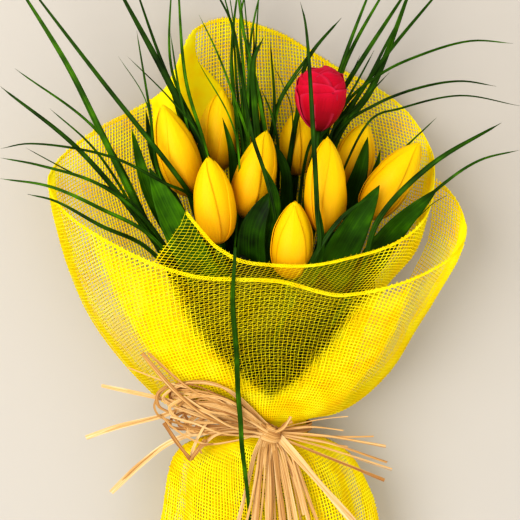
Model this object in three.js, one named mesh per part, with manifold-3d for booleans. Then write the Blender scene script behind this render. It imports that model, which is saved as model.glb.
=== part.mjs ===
// A bunch of nine yellow tulips, a red rosebud and bear grass in a wrap of open net, tied with raffia.
// It lies on its back: +Y runs to the heads, +X to the right, +Z up, all in millimetres.
// The origin is the middle of the flat spot under the heads where the wrap rests.
import * as THREE from 'three';
import { mergeVertices } from 'three/addons/utils/BufferGeometryUtils.js';
import Module from 'manifold-3d';

const wasm = await Module();
wasm.setup();

// Driving dimensions
const TIE = new THREE.Vector3(6, -139, 45); // middle of the tied waist
const BIND = 35; // how tightly the tie draws the stems together, as a distance along Y
const STEM_RADIUS = 3.2;
const STEM_END = -258; // where the stems are cut
const SEAT_GAP = 0.3; // between pieces that touch
const BLOOM_RADIUS = 16.2;
const NECK_RADIUS = 3.4; // flat foot of a bloom, on its stem
const NET_THICKNESS = 1.2;
const BUNDLE_RADIUS = 2.5; // a bundle of grass where it is bound
const BLADE_THICKNESS = 0.9;
const STRAND_THICKNESS = 0.9;
const LEAF_THICKNESS = 0.9;
const SIGHT = { distance: 1200, tilt: THREE.MathUtils.degToRad(11), height: 60 };

const material = (color, roughness) => new THREE.MeshStandardMaterial({ color, roughness, metalness: 0 });
const petalYellow = material('#ffd800', 0.5);
const petalRed = material('#c4052b', 0.45);
const leafGreen = material('#3a7a12', 0.45);
const grassGreen = material('#1f5212', 0.4);
const netYellow = material('#f2da00', 0.6);
const straw = material('#d2a468', 0.7);

const UP = new THREE.Vector3(0, 0, 1);
const bunch = new THREE.Group();

function addPiece(name, geometry, finish) {
  const mesh = new THREE.Mesh(geometry, finish.clone());
  mesh.name = name;
  bunch.add(mesh);
  return mesh;
}

// A point seen at (x, y) on the level SIGHT.height by a viewer above, moved along the sight line to height z.
function seen(x, y, z) {
  const lift = z - SIGHT.height;
  const sine = Math.sin(SIGHT.tilt);
  const cosine = Math.cos(SIGHT.tilt);
  const share = y / SIGHT.distance;
  const along = (y - share * lift * cosine + lift * sine) / (cosine + share * sine);
  const depth = SIGHT.distance - along * sine - lift * cosine;
  return new THREE.Vector3((x * depth) / SIGHT.distance, along, z);
}

// How far the stems have spread at y, as a multiple of their slope: least at the tie, and slower below it.
function spread(y) {
  const away = y > TIE.y ? y - TIE.y : (TIE.y - y) * 0.35;
  return Math.hypot(away, BIND);
}

function slopeTo(point) {
  const reach = spread(point.y);
  return [(point.x - TIE.x) / reach, (point.z - TIE.z) / reach];
}

function onSlope([across, up], y) {
  return new THREE.Vector3(TIE.x + across * spread(y), y, TIE.z + up * spread(y));
}

// Monotone cubic through rows [at, value, value...], read in one column.
function smooth(rows, at, column) {
  const last = rows.length - 1;
  if (at <= rows[0][0]) return rows[0][column];
  if (at >= rows[last][0]) return rows[last][column];
  const k = rows.findIndex((row, index) => index < last && at < rows[index + 1][0]);
  const step = (i) => (rows[i + 1][column] - rows[i][column]) / (rows[i + 1][0] - rows[i][0]);
  const tangent = (i) => {
    if (i === 0) return step(0);
    if (i === last) return step(last - 1);
    const before = step(i - 1);
    const after = step(i);
    return before * after <= 0 ? 0 : (2 * before * after) / (before + after);
  };
  const width = rows[k + 1][0] - rows[k][0];
  const t = (at - rows[k][0]) / width;
  const s = 1 - t;
  return (
    rows[k][column] * s * s * (1 + 2 * t) +
    rows[k + 1][column] * t * t * (3 - 2 * t) +
    tangent(k) * width * t * s * s -
    tangent(k + 1) * width * t * t * s
  );
}

function bufferFrom(points, triangles) {
  const geometry = new THREE.BufferGeometry().setFromPoints(points);
  geometry.setIndex(triangles);
  return geometry;
}

// Closed body through rings of points, each ring convex and wound about the way forward.
function loft(rings) {
  const sides = rings[0].length;
  const triangles = [];
  const end = (rings.length - 1) * sides;
  for (let i = 0; i + 1 < rings.length; i += 1) {
    for (let j = 0; j < sides; j += 1) {
      const a = i * sides + j;
      const b = i * sides + ((j + 1) % sides);
      triangles.push(a, b, b + sides, a, b + sides, a + sides);
    }
  }
  for (let j = 1; j + 1 < sides; j += 1) {
    triangles.push(0, j + 1, j, end, end + j, end + j + 1);
  }
  return bufferFrom(rings.flat(), triangles);
}

// Closed thin body between two grids of points, split into triangles alike on both faces.
function shell(upper, lower) {
  const rows = upper.length;
  const columns = upper[0].length;
  const count = rows * columns;
  const at = (i, j) => i * columns + j;
  const triangles = [];
  const wall = (a, b) => triangles.push(a, b, b + count, a, b + count, a + count);
  for (let i = 0; i + 1 < rows; i += 1) {
    for (let j = 0; j + 1 < columns; j += 1) {
      const [a, b, c, d] = [at(i, j), at(i, j + 1), at(i + 1, j + 1), at(i + 1, j)];
      triangles.push(a, b, c, a, c, d);
      triangles.push(a + count, c + count, b + count, a + count, d + count, c + count);
    }
  }
  for (let j = 0; j + 1 < columns; j += 1) {
    wall(at(0, j + 1), at(0, j));
    wall(at(rows - 1, j), at(rows - 1, j + 1));
  }
  for (let i = 0; i + 1 < rows; i += 1) {
    wall(at(i, 0), at(i + 1, 0));
    wall(at(i + 1, columns - 1), at(i, columns - 1));
  }
  return bufferFrom([...upper.flat(), ...lower.flat()], triangles);
}

function toSolid(geometry) {
  const bare = geometry.clone();
  bare.deleteAttribute('normal');
  bare.deleteAttribute('uv');
  const welded = mergeVertices(bare, 1e-4);
  return new wasm.Manifold(
    new wasm.Mesh({
      numProp: 3,
      vertProperties: new Float32Array(welded.attributes.position.array),
      triVerts: new Uint32Array(welded.index.array),
    }),
  );
}

// Joins bodies into one, filling any hollow that they shut in between them.
function fuse(geometries) {
  const whole = geometries.map(toSolid).reduce((sum, next) => sum.add(next));
  const skin = whole.decompose().reduce((a, b) => (a.volume() > b.volume() ? a : b));
  const mesh = skin.getMesh();
  const geometry = new THREE.BufferGeometry();
  geometry.setAttribute('position', new THREE.BufferAttribute(mesh.vertProperties, 3));
  geometry.setIndex(new THREE.BufferAttribute(mesh.triVerts, 1));
  return geometry;
}

// Tube of a few sides along points, with a radius at each.
function tube(points, radii, sides) {
  const curve = new THREE.CatmullRomCurve3(points, false, 'centripetal');
  const rings = points.map((point, index) => {
    const forward = curve.getTangent(index / (points.length - 1));
    const side = UP.clone().cross(forward).normalize();
    const top = new THREE.Vector3().crossVectors(forward, side);
    return Array.from({ length: sides }, (_, j) => {
      const angle = (2 * Math.PI * j) / sides;
      return point
        .clone()
        .addScaledVector(side, radii[index] * Math.cos(angle))
        .addScaledVector(top, radii[index] * Math.sin(angle));
    });
  });
  return loft(rings);
}

// Narrow strip along a curve, facing up, with a keel along its underside.
function strip(curve, steps, widthAt, thickness) {
  const rings = Array.from({ length: steps + 1 }, (_, index) => {
    const t = index / steps;
    const point = curve.getPoint(t);
    const forward = curve.getTangent(t);
    const side = new THREE.Vector3().crossVectors(UP, forward).normalize();
    const top = new THREE.Vector3().crossVectors(forward, side);
    const half = widthAt(t) / 2;
    const corners = [[half, 0.4], [-half, 0.4], [0, -0.6]];
    return corners.map(([across, up]) =>
      point.clone().addScaledVector(side, across).addScaledVector(top, up * thickness),
    );
  });
  return loft(rings);
}

// ---- Wrap of net ----

// Outline of the wrap's outer layer: y, left, right, low and high edge. Below the surface it lies flat on it.
const OUTLINE = [
  [-292, -84, 98, -3, 92],
  [-250, -81, 96, -3, 92],
  [-208, -75, 90, -3, 90],
  [-187, -73, 83, -2, 88],
  [-168, -69, 74, 2, 86],
  [-156, -61, 63, 7, 83],
  [-150, -48, 52, 10, 80],
  [-145, -25, 36.4, 15, 75.5],
  [-139, -24, 35.4, 15.5, 75],
  [-133, -25, 36.4, 15, 75.5],
  [-128, -57, 60, 8, 85],
  [-120, -76, 76, 4, 91],
  [-107, -91, 92, 1, 99],
  [-90, -107, 107, -2, 108],
  [-62, -127, 122, -3, 119],
  [-35, -140, 137, -4, 128],
  [10, -154, 157, -4, 134],
  [50, -161, 159, -4, 134],
  [110, -158, 150, -4, 130],
  [180, -146, 136, -4, 120],
];
// Height of the rim along Y at each angle round the wind: 0 is the front of the inner layer, 90 the right,
// 180 the back, 270 the left and 360 the front of the outer layer.
const RIM = [
  [-27, 37], [-17, 10], [-5, 3], [15, 0], [36, 6], [55, 14], [85, 39], [100, 72], [124, 109],
  [151, 136], [175, 166], [190, 174], [200, 166], [208, 122], [214, 110], [233, 90], [252, 72],
  [275, 54], [308, 23], [333, 0], [345, -6], [362, -7], [385, -20], [398, -17], [423, -2],
  [450, 20], [480, 51],
];
// The wind, in degrees: how far the corner that starts it slants back at the tie, and where it widens.
const WIND = { start: -27, end: 480, slant: 130, widens: [80, 280], columns: 62 };
// Share of the outline that the inner turn keeps at y; past the right side it grows to the whole.
const INNER = [[-139, 0.78], [-133, 0.78], [-105, 0.7], [-60, 0.67], [-30, 0.69], [0, 0.77], [70, 0.86]];
const LEVELS = [-292, -262, -228, -198, -176, -160, -150.5, -145, -139, -133, -128]; // rows below the flare
// The tie is drawn up at the front, so the wrap and its tie lean by this much in y for each mm below top.
const WAIST_LEAN = { slope: 0.19, top: 80, reach: 45 };
const FLARE = [0.07, 0.15, 0.26, 0.4, 0.57, 0.77, 1]; // rows from the last level to the rim
const PLEATS = { perTurn: 9, waist: 1.2, hem: 4.5 };
const FLAP = { angle: 204, width: 7, rise: 26 }; // the back lobe's edge that rolls forward

const bell = (x) => Math.exp(-x * x);
const lean = (y, z) => WAIST_LEAN.slope * (z - WAIST_LEAN.top) * bell((y - TIE.y) / WAIST_LEAN.reach);

function pleatDepth(y) {
  const above = PLEATS.waist * bell(Math.max(0, y - TIE.y - 6) / 35);
  const below = (PLEATS.hem - PLEATS.waist) * Math.min(1, Math.max(0, -150 - y) / 90);
  return above + below;
}

// The outer layer's centre line and half width at y, with the height where it is widest.
function outlineAt(y) {
  const [left, right, low, high] = [1, 2, 3, 4].map((column) => smooth(OUTLINE, y, column));
  const middle = low + (high - low) * 0.49;
  return { centre: (left + right) / 2, half: (right - left) / 2, middle, low, high };
}

// A point of the sheet's inner face: u runs along the wind from 0 to 1, and row up from the hem.
function netPoint(u, row) {
  const straight = WIND.start + (WIND.end - WIND.start) * u;
  const rim = smooth(RIM, straight, 1);
  const flareFrom = LEVELS.length - 1;
  const base = LEVELS[flareFrom];
  const y = row <= flareFrom ? LEVELS[row] : base + (rim - base) * FLARE[row - flareFrom - 1];
  const rise = row <= flareFrom ? 0 : FLARE[row - flareFrom - 1];
  const angle = straight - WIND.slant * (1 - rise) ** 1.35 * Math.exp(-8 * u);
  const turn = THREE.MathUtils.degToRad(angle);
  const inner = smooth(INNER, y, 1);
  const layer = inner + (1 - inner) * THREE.MathUtils.smoothstep(angle, ...WIND.widens);
  const { centre, half, middle, low, high } = outlineAt(y);
  const pleat = pleatDepth(y) * Math.cos(PLEATS.perTurn * turn);
  const sine = Math.sin(turn);
  const cosine = Math.cos(turn);
  const x = centre + (half * layer + pleat) * sine;
  const front = middle + ((high - middle) * layer + pleat) * cosine;
  const boxy = 0.6 + 0.4 * bell((y - TIE.y) / 24);
  const back = middle - (middle - low + pleat) * Math.abs(cosine) ** boxy;
  const flap = FLAP.rise * rise ** 3 * bell((angle - FLAP.angle) / FLAP.width);
  const lying = Math.max(NET_THICKNESS, cosine > 0 ? front : back);
  return new THREE.Vector3(x, y + lean(y, lying), lying + flap);
}

// The normal of a grid of points at one place, from its neighbours.
function gridNormal(grid, i, j) {
  const inside = (index, count) => THREE.MathUtils.clamp(index, 0, count - 1);
  const pick = (a, b) => grid[inside(a, grid.length)][inside(b, grid[0].length)];
  const along = pick(i + 1, j).clone().sub(pick(i - 1, j));
  const across = pick(i, j + 1).clone().sub(pick(i, j - 1));
  return across.cross(along).normalize();
}

function wrap() {
  const rows = LEVELS.length + FLARE.length - 1;
  const inner = Array.from({ length: rows + 1 }, (_, i) =>
    Array.from({ length: WIND.columns + 1 }, (__, j) => netPoint(j / WIND.columns, i)),
  );
  const outer = inner.map((line, i) =>
    line.map((point, j) => point.clone().addScaledVector(gridNormal(inner, i, j), NET_THICKNESS)),
  );
  return shell(outer, inner);
}

addPiece('wrap_net', wrap(), netYellow);

// Height of the wrap's outer front at a place, or 0 outside it.
function frontHeight(x, y) {
  const { centre, half, middle, high } = outlineAt(y);
  const share = (x - centre) / half;
  return Math.abs(share) >= 1 ? 0 : middle + (high - middle + pleatDepth(y)) * Math.sqrt(1 - share * share);
}

// ---- Blooms ----

// Profiles of a closed tulip and of the rosebud: height up the bloom and radius, as shares.
const BUD = [
  [0, 0], [0.05, 0.5], [0.18, 0.86], [0.38, 1], [0.6, 0.93], [0.78, 0.72], [0.92, 0.44], [1, 0.24],
];
const ROSE = [
  [0, 0], [0.08, 0.42], [0.25, 0.72], [0.48, 0.96], [0.68, 1], [0.86, 0.86], [0.96, 0.62], [1, 0.44],
];
const BLOOM_SIDES = 18;

// Closed bloom standing on +Z: three outer petals over three inner ones, parting at their tips.
function bloomGeometry(length, radius, { profile, fold, notch, hollow }) {
  const ring = (share, height, relief, part) =>
    Array.from({ length: BLOOM_SIDES }, (_, k) => {
      const angle = (2 * Math.PI * k) / BLOOM_SIDES;
      const between = Math.abs(Math.sin(1.5 * angle)) ** 4;
      const r = Math.max(share * radius * (1 - relief * fold * between), NECK_RADIUS);
      const cleft = notch * part * Math.abs(Math.sin(3 * angle));
      return new THREE.Vector3(r * Math.cos(angle), r * Math.sin(angle), length * (height - cleft));
    });
  const outside = profile.map(([height, share]) => {
    const part = Math.max(0, (height - 0.75) / 0.25);
    return ring(share, height, Math.min(1, height * 6), part);
  });
  const inside = ring(0, 1 - hollow, 0, 0).map((point) => point.multiply(new THREE.Vector3(0.5, 0.5, 1)));
  return loft([...outside, inside]);
}

const TULIP = { profile: BUD, fold: 0.09, notch: 0.1, hollow: 0.2 };
const ROSEBUD = { profile: ROSE, fold: 0.07, notch: 0.05, hollow: 0.08 };

// Foot and tip of each bloom as seen from above, with its height off the surface, and its quarter turn.
const TULIPS = {
  left: { foot: [-53, 42, 62], tip: [-75, 112, 66], turn: 0.3 },
  back_left: { foot: [-35, 60, 34], tip: [-29, 123, 38], turn: 0.9 },
  front_left: { foot: [-32, 5, 88], tip: [-40, 72, 90], turn: 0 },
  centre: { foot: [-12, 25, 68], tip: [5, 92, 70], turn: 0.2 },
  front: { foot: [23, -22, 95], tip: [27, 38, 98], turn: 1.0 },
  centre_right: { foot: [50, 12, 85], tip: [52, 87, 84], turn: -0.3 },
  back: { foot: [27, 58, 30], tip: [33, 111, 32], turn: 0.5 },
  back_right: { foot: [65, 46, 44], tip: [82, 98, 46], turn: 0.1 },
  right: { foot: [81, 25, 72], tip: [123, 83, 76], turn: 0.8 },
};
const ROSE_PLACE = { foot: [45, 92, 75], tip: [48, 142, 78], turn: 0.4, radius: 19.5 };

function placeBloom(name, { foot, tip, turn, radius = BLOOM_RADIUS }, form, finish) {
  const base = seen(...foot);
  const axis = seen(...tip).sub(base);
  const length = axis.length();
  axis.normalize();
  const front = UP.clone().addScaledVector(axis, -UP.dot(axis)).normalize();
  const side = new THREE.Vector3().crossVectors(axis, front);
  const mesh = addPiece(name, bloomGeometry(length, radius, form), finish);
  mesh.quaternion.setFromRotationMatrix(new THREE.Matrix4().makeBasis(front, side, axis));
  mesh.rotateZ(turn);
  mesh.position.copy(base);
}

Object.entries(TULIPS).forEach(([name, place]) => placeBloom(`bloom_${name}`, place, TULIP, petalYellow));
placeBloom('rosebud', ROSE_PLACE, ROSEBUD, petalRed);

// ---- Stems with their leaves ----

// Path of a stem from its cut end through the tie to the foot of its bloom.
function stemPath({ foot, tip }) {
  const base = seen(...foot);
  const axis = seen(...tip).sub(base).normalize();
  const slope = slopeTo(base);
  const rows = [STEM_END, -200, -165, TIE.y, -110, -75, -35, base.y - 26].filter((y) => y <= base.y - 26);
  const points = rows.map((y) => onSlope(slope, y));
  points.push(base.clone().addScaledVector(axis, -10), base.clone().addScaledVector(axis, -SEAT_GAP));
  return { points, slope };
}

// Broad pointed leaf from its stem at y = from, widest at via; the blade is cupped across.
function leaf(slope, { from, via, tip, width, roll = 0 }) {
  const middle = seen(...via);
  const start = onSlope(slope, from);
  const knee = start.clone().lerp(middle, 0.45);
  const path = new THREE.CatmullRomCurve3([start, knee, middle, seen(...tip)], false, 'centripetal');
  const steps = 7;
  const across = [-1, -0.5, 0, 0.5, 1];
  const upper = Array.from({ length: steps + 1 }, (_, i) => {
    const t = i / steps;
    const forward = path.getTangentAt(t);
    const facing = UP.clone().applyAxisAngle(forward, roll);
    const side = new THREE.Vector3().crossVectors(facing, forward).normalize();
    const top = new THREE.Vector3().crossVectors(forward, side);
    const half = (width / 2) * Math.max(0.12, Math.sin(Math.PI * t ** 0.85) ** 0.8) * (t === 1 ? 0.4 : 1);
    return across.map((s) =>
      path
        .getPointAt(t)
        .addScaledVector(side, -half * s)
        .addScaledVector(top, 0.28 * half * s * s),
    );
  });
  const lower = upper.map((line) => line.map((point) => point.clone().setZ(point.z - LEAF_THICKNESS)));
  return shell(upper, lower);
}

const LEAVES = {
  left: [
    { from: -72, via: [-85, 44, 62], tip: [-99, 93, 64], width: 13, roll: 0.3 },
    { from: -60, via: [-82, 74, 48], tip: [-88, 108, 50], width: 9 },
  ],
  back_left: [
    { from: -40, via: [-22, 76, 57], tip: [-29, 102, 60], width: 8 },
    { from: -30, via: [-46, 78, 49], tip: [-47, 96, 50], width: 7 },
  ],
  front_left: [{ from: -84, via: [-65, 20, 88], tip: [-85, 63, 90], width: 26 }],
  centre: [
    { from: -70, via: [-5, 16, 84], tip: [9, 46, 86], width: 23, roll: -0.2 },
    { from: -50, via: [11, 38, 86], tip: [2, 66, 90], width: 11 },
  ],
  front: [],
  centre_right: [
    { from: -84, via: [68, 12, 97], tip: [92, 50, 97], width: 31, roll: 0.15 },
    { from: -70, via: [47, 6, 105], tip: [42, 46, 105], width: 6 },
  ],
  back: [{ from: -60, via: [19, 62, 55], tip: [6, 88, 56], width: 11 }],
  back_right: [
    { from: -50, via: [74, 52, 61], tip: [83, 87, 63], width: 18 },
    { from: -40, via: [88, 60, 52], tip: [93, 78, 54], width: 9 },
  ],
  right: [{ from: -84, via: [103, 17, 83], tip: [137, 48, 92], width: 25, roll: 0.25 }],
};

function tulipStem(name, place) {
  const { points, slope } = stemPath(place);
  const stem = tube(points, points.map(() => STEM_RADIUS), 7);
  addPiece(`stem_${name}`, fuse([stem, ...LEAVES[name].map((form) => leaf(slope, form))]), leafGreen);
}

Object.entries(TULIPS).forEach(([name, place]) => tulipStem(name, place));

function roseStem() {
  const { points } = stemPath(ROSE_PLACE);
  addPiece('stem_rosebud', tube(points, points.map(() => 2), 7), leafGreen);
}

roseStem();

// ---- Bear grass ----

// Each bundle's slope through the tie, then its blades: places they pass as seen, with heights, and width.
const GRASS = {
  left_fan: {
    slope: [-0.491, 0.13],
    blades: [
      { through: [[-77, 0, 72], [-123, 92, 80], [-148, 142, 82], [-179, 192, 80]], width: 4 },
      { through: [[-78, 2, 76], [-139, 77, 86], [-200, 126, 80]], width: 3.5 },
      { through: [[-77, 4, 68], [-123, 89, 74], [-189, 140, 74]], width: 2 },
      { through: [[-84, 10, 70], [-127, 77, 72], [-162, 109, 72]], width: 1.8 },
      { through: [[-85, 19, 84], [-123, 50, 96], [-169, 65, 98], [-200, 71, 92]], width: 2.2 },
      { through: [[-81, 8, 88], [-123, 32, 106], [-162, 49, 104], [-200, 55, 96]], width: 2.4 },
      { through: [[-85, 0, 92], [-123, 19, 114], [-158, 38, 108], [-179, 43, 100]], width: 2.6 },
    ],
  },
  left_front: {
    slope: [-0.062, 0.315],
    blades: [
      {
        through: [[-39, 10, 65], [-51, 38, 73], [-66, 60, 84], [-119, 127, 86], [-169, 192, 84]],
        width: 3,
      },
      {
        through: [
          [-39, 14, 65], [-54, 42, 79], [-72, 51, 95],
          [-115, 72, 98], [-177, 82, 94], [-200, 78, 88],
        ],
        width: 2,
      },
    ],
  },
  upper_left: {
    slope: [-0.366, -0.095],
    blades: [
      { through: [[-40, 68, 61], [-69, 127, 66], [-104, 192, 68]], width: 4.5 },
      { through: [[-41, 70, 57], [-73, 139, 54], [-92, 192, 52]], width: 2.5 },
      { through: [[-41, 74, 64], [-57, 131, 72], [-62, 192, 74]], width: 2.4 },
      { through: [[-42, 76, 60], [-68, 139, 60], [-68, 192, 58]], width: 2 },
    ],
  },
  centre: {
    slope: [-0.03, -0.16],
    blades: [
      { through: [[-9, 70, 40], [-15, 123, 44], [-29, 192, 46]], width: 3.4 },
      { through: [[-6, 70, 42], [-11, 123, 52], [-22, 192, 54]], width: 3 },
      { through: [[-8, 70, 36], [-8, 123, 38], [-15, 192, 38]], width: 3.5 },
      { through: [[-2, 70, 42], [-5, 123, 46], [-8, 192, 48]], width: 3 },
      { through: [[0, 70, 38], [-3, 131, 44], [-1, 192, 44]], width: 3 },
      { through: [[2, 70, 36], [-1, 112, 36], [3, 164, 40]], width: 7 },
      { through: [[5, 70, 42], [11, 108, 50], [8, 161, 52]], width: 2.4 },
      { through: [[8, 84, 44], [15, 115, 48], [38, 150, 50], [63, 179, 52]], width: 2.4 },
    ],
  },
  right_back: {
    slope: [0.254, -0.174],
    blades: [
      { through: [[50, 92, 42], [62, 139, 46], [82, 192, 48]], width: 3 },
      { through: [[52, 92, 38], [65, 142, 40], [92, 192, 42]], width: 3 },
      { through: [[50, 98, 44], [68, 130, 48], [108, 192, 50]], width: 3.4 },
      { through: [[60, 88, 55], [85, 123, 58], [112, 192, 60]], width: 4.5 },
      { through: [[62, 92, 56], [89, 139, 62], [132, 192, 62]], width: 3 },
      { through: [[62, 106, 54], [92, 135, 66], [123, 150, 70], [162, 161, 70], [195, 159, 64]], width: 2 },
      { through: [[60, 90, 58], [89, 112, 68], [123, 125, 72], [154, 130, 72], [182, 126, 66]], width: 2 },
    ],
  },
  right: {
    slope: [0.475, -0.075],
    blades: [
      { through: [[90, 45, 54], [104, 70, 60], [136, 102, 66]], width: 1.8 },
      { through: [[100, 10, 64], [139, 49, 80], [169, 69, 84], [200, 77, 82]], width: 2.2 },
    ],
  },
  right_front: {
    slope: [0.418, 0.353],
    blades: [{ through: [[76, -24, 90], [91, 23, 98], [131, 65, 100], [186, 98, 100]], width: 3.6 }],
  },
  front: {
    slope: [-0.015, 0.455],
    blades: [
      {
        through: [
          [20, -48, 99], [45, 0, 108], [44, 30, 110],
          [41, 90, 108], [35, 175, 104], [31, 191, 103],
        ],
        width: 3,
      },
      { through: [[22, -46, 99], [46, 2, 108], [65, 27, 109], [86, 42, 107]], width: 3.4 },
    ],
  },
};
const GRASS_END = -236;
const GRASS_PARTS = -92; // the blades of a bundle part here

const bladeWidth = (width) => (t) => width * Math.min(1, 0.55 + 2.5 * t) * (1 - 0.78 * t ** 3);

function grassBundle({ slope, blades }) {
  const rows = [GRASS_END, -190, -160, TIE.y, -115, GRASS_PARTS];
  const parts = [tube(rows.map((y) => onSlope(slope, y)), rows.map(() => BUNDLE_RADIUS), 6)];
  blades.forEach(({ through, width }, index) => {
    const aside = new THREE.Vector3(Math.cos(2.4 * index), 0, Math.sin(2.4 * index));
    const root = [GRASS_PARTS - 14, GRASS_PARTS + 4].map((y, k) =>
      onSlope(slope, y).addScaledVector(aside, 0.9 + 0.8 * k),
    );
    const places = through.map((place) => seen(...place));
    const path = new THREE.CatmullRomCurve3([...root, ...places], false, 'centripetal');
    parts.push(strip(path, 7, bladeWidth(width), BLADE_THICKNESS));
  });
  return fuse(parts);
}

Object.entries(GRASS).forEach(([name, bundle]) => addPiece(`grass_${name}`, grassBundle(bundle), grassGreen));

// Path through points, lifted where it would come within clear of the wrap's front.
function pathOver(points, clear, steps) {
  const rough = new THREE.CatmullRomCurve3(points.map((point) => seen(...point)), false, 'centripetal');
  const lifted = rough.getSpacedPoints(steps).map((point) => {
    const height = Math.max(point.z, frontHeight(point.x, point.y) + clear);
    return new THREE.Vector3(point.x, point.y, height);
  });
  return new THREE.CatmullRomCurve3(lifted, false, 'centripetal');
}

// One blade has slipped over the rim and hangs down the front, over the bow.
const HANGING = {
  points: [
    [-19, 2, 136], [-20, -16, 139], [-21, -40, 133], [-18, -80, 118], [-17, -108, 110],
    [-15, -132, 106], [-14, -150, 104], [-11, -175, 97], [-8, -208, 92], [-8, -222, 92],
  ],
  width: 3.2,
};

function hangingBlade() {
  return strip(pathOver(HANGING.points, 2.2, 18), 18, bladeWidth(HANGING.width), BLADE_THICKNESS);
}

addPiece('grass_hanging', hangingBlade(), grassGreen);

// ---- Raffia ----

const BAND = { radius: 33.7, depth: 2, width: 8 };
const KNOT = { centre: [8, -139, 86], radii: [15, 6.5, 6] };
const LOOPS = [
  {
    points: [
      [8, -137, 88], [-27, -96, 104], [-65, -94, 104],
      [-77, -115, 98], [-46, -127, 94], [2, -138, 88],
    ],
    width: 4,
  },
  {
    points: [
      [8, -139, 90], [-35, -103, 100], [-73, -107, 100],
      [-81, -124, 92], [-54, -136, 88], [2, -142, 86],
    ],
    width: 3.4,
  },
  {
    points: [
      [6, -138, 92], [-20, -118, 98], [-54, -114, 99],
      [-66, -129, 92], [-40, -141, 88], [4, -141, 88],
    ],
    width: 3,
  },
  { points: [[4, -141, 86], [-35, -128, 93], [-53, -160, 84], [-33, -142, 90], [4, -140, 90]], width: 4 },
];
const STRANDS = [
  { points: [[6, -137, 86], [-45, -112, 98], [-92, -78, 104]], width: 4.4 },
  { points: [[6, -136, 88], [-40, -106, 104], [-86, -78, 104]], width: 2.2 },
  { points: [[6, -138, 88], [-70, -116, 94], [-124, -104, 82]], width: 3.4 },
  { points: [[6, -140, 86], [-85, -122, 86], [-136, -145, 70]], width: 4.2 },
  { points: [[6, -141, 84], [-70, -146, 80], [-116, -189, 56]], width: 5 },
  { points: [[12, -139, 86], [38, -134, 90], [65, -139, 88]], width: 2.4 },
  { points: [[12, -140, 86], [50, -141, 90], [98, -151, 84]], width: 2.6 },
  { points: [[12, -141, 86], [50, -148, 90], [99, -164, 86]], width: 2.2 },
  { points: [[12, -142, 86], [50, -152, 92], [103, -169, 90]], width: 2.2 },
  { points: [[10, -142, 86], [48, -158, 92], [97, -178, 90]], width: 2.6 },
  { points: [[6, -143, 84], [0, -175, 88], [-5, -222, 90]], width: 3 },
  { points: [[8, -143, 84], [6, -175, 90], [6, -230, 92]], width: 4 },
  { points: [[9, -143, 86], [13, -175, 92], [17, -226, 94]], width: 3 },
  { points: [[9, -143, 84], [18, -175, 88], [26, -232, 92]], width: 4 },
  { points: [[10, -142, 86], [24, -170, 90], [34, -205, 92]], width: 2.6 },
  { points: [[11, -142, 84], [28, -175, 88], [41, -224, 92]], width: 3.4 },
  { points: [[12, -141, 88], [42, -175, 92], [76, -214, 92]], width: 4.2 },
];

function band() {
  const { radius, depth, width } = BAND;
  const outline = [
    new THREE.Vector2(radius, -width / 2),
    new THREE.Vector2(radius + depth, -width / 2),
    new THREE.Vector2(radius + depth, width / 2),
    new THREE.Vector2(radius, width / 2),
    new THREE.Vector2(radius, -width / 2),
  ];
  const ring = new THREE.LatheGeometry(outline, 24).translate(TIE.x, TIE.y, TIE.z);
  const places = ring.attributes.position;
  for (let i = 0; i < places.count; i += 1) {
    places.setY(i, places.getY(i) + lean(TIE.y, places.getZ(i)));
  }
  return ring;
}

function knot() {
  const [x, y, z] = KNOT.centre;
  const centre = seen(x, y, z);
  return new THREE.SphereGeometry(1, 10, 7).scale(...KNOT.radii).translate(centre.x, centre.y, centre.z);
}

function raffia() {
  const ribbons = [...LOOPS, ...STRANDS].map(({ points, width }) => {
    const steps = points.length > 3 ? 10 : 4;
    return strip(pathOver(points, 3, steps), steps, () => width, STRAND_THICKNESS);
  });
  return fuse([band(), knot(), ...ribbons]);
}

addPiece('raffia_bow', raffia(), straw);

export default bunch;
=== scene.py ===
import math
import bpy
import numpy as np
from mathutils import Matrix, Vector


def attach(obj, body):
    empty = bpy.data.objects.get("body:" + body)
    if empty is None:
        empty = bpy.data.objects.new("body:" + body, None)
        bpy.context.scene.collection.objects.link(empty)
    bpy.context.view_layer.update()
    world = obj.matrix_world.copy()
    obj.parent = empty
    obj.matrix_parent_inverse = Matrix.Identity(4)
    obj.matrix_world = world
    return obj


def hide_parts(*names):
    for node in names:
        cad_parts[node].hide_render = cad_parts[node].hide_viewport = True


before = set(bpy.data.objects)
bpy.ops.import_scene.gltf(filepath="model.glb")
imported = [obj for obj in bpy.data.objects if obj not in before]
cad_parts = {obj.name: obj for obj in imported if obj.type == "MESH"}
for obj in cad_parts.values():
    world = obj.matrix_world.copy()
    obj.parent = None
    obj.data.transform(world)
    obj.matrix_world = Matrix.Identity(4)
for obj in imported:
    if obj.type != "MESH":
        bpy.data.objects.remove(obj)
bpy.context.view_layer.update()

# A bunch of yellow tulips with a red rosebud and bear grass, in a wrap of open net tied with raffia.
# It lies on its back: +Y runs to the heads, +X to the right, +Z up. All lengths below are millimetres.
toMetres = 0.001
tie = np.array([6.0, -139.0, 45.0])  # middle of the tied waist
bind = 35.0  # how tightly the tie draws the stems together, as a distance along Y
spreadBelow = 0.35  # how much less the stems spread below the tie
sight = {"distance": 1200.0, "tilt": math.radians(11), "height": 60.0, "width": 400.4, "sensor": 36}
up = np.array([0.0, 0.0, 1.0])
rng = np.random.default_rng(7)


def unit(v):
    return v / np.maximum(np.linalg.norm(v, axis=-1, keepdims=True), 1e-9)


def bell(x):
    return np.exp(-x * x)


# The tie is drawn up at the front, so the wrap and the tie lean along y by this for each mm below the top.
waistLean = {"slope": 0.19, "top": 80.0, "reach": 45.0}


def lean(y, z):
    return waistLean["slope"] * (z - waistLean["top"]) * bell((y - tie[1]) / waistLean["reach"])


def smoothStep(x):
    x = np.clip(x, 0, 1)
    return x * x * (3 - 2 * x)


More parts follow.
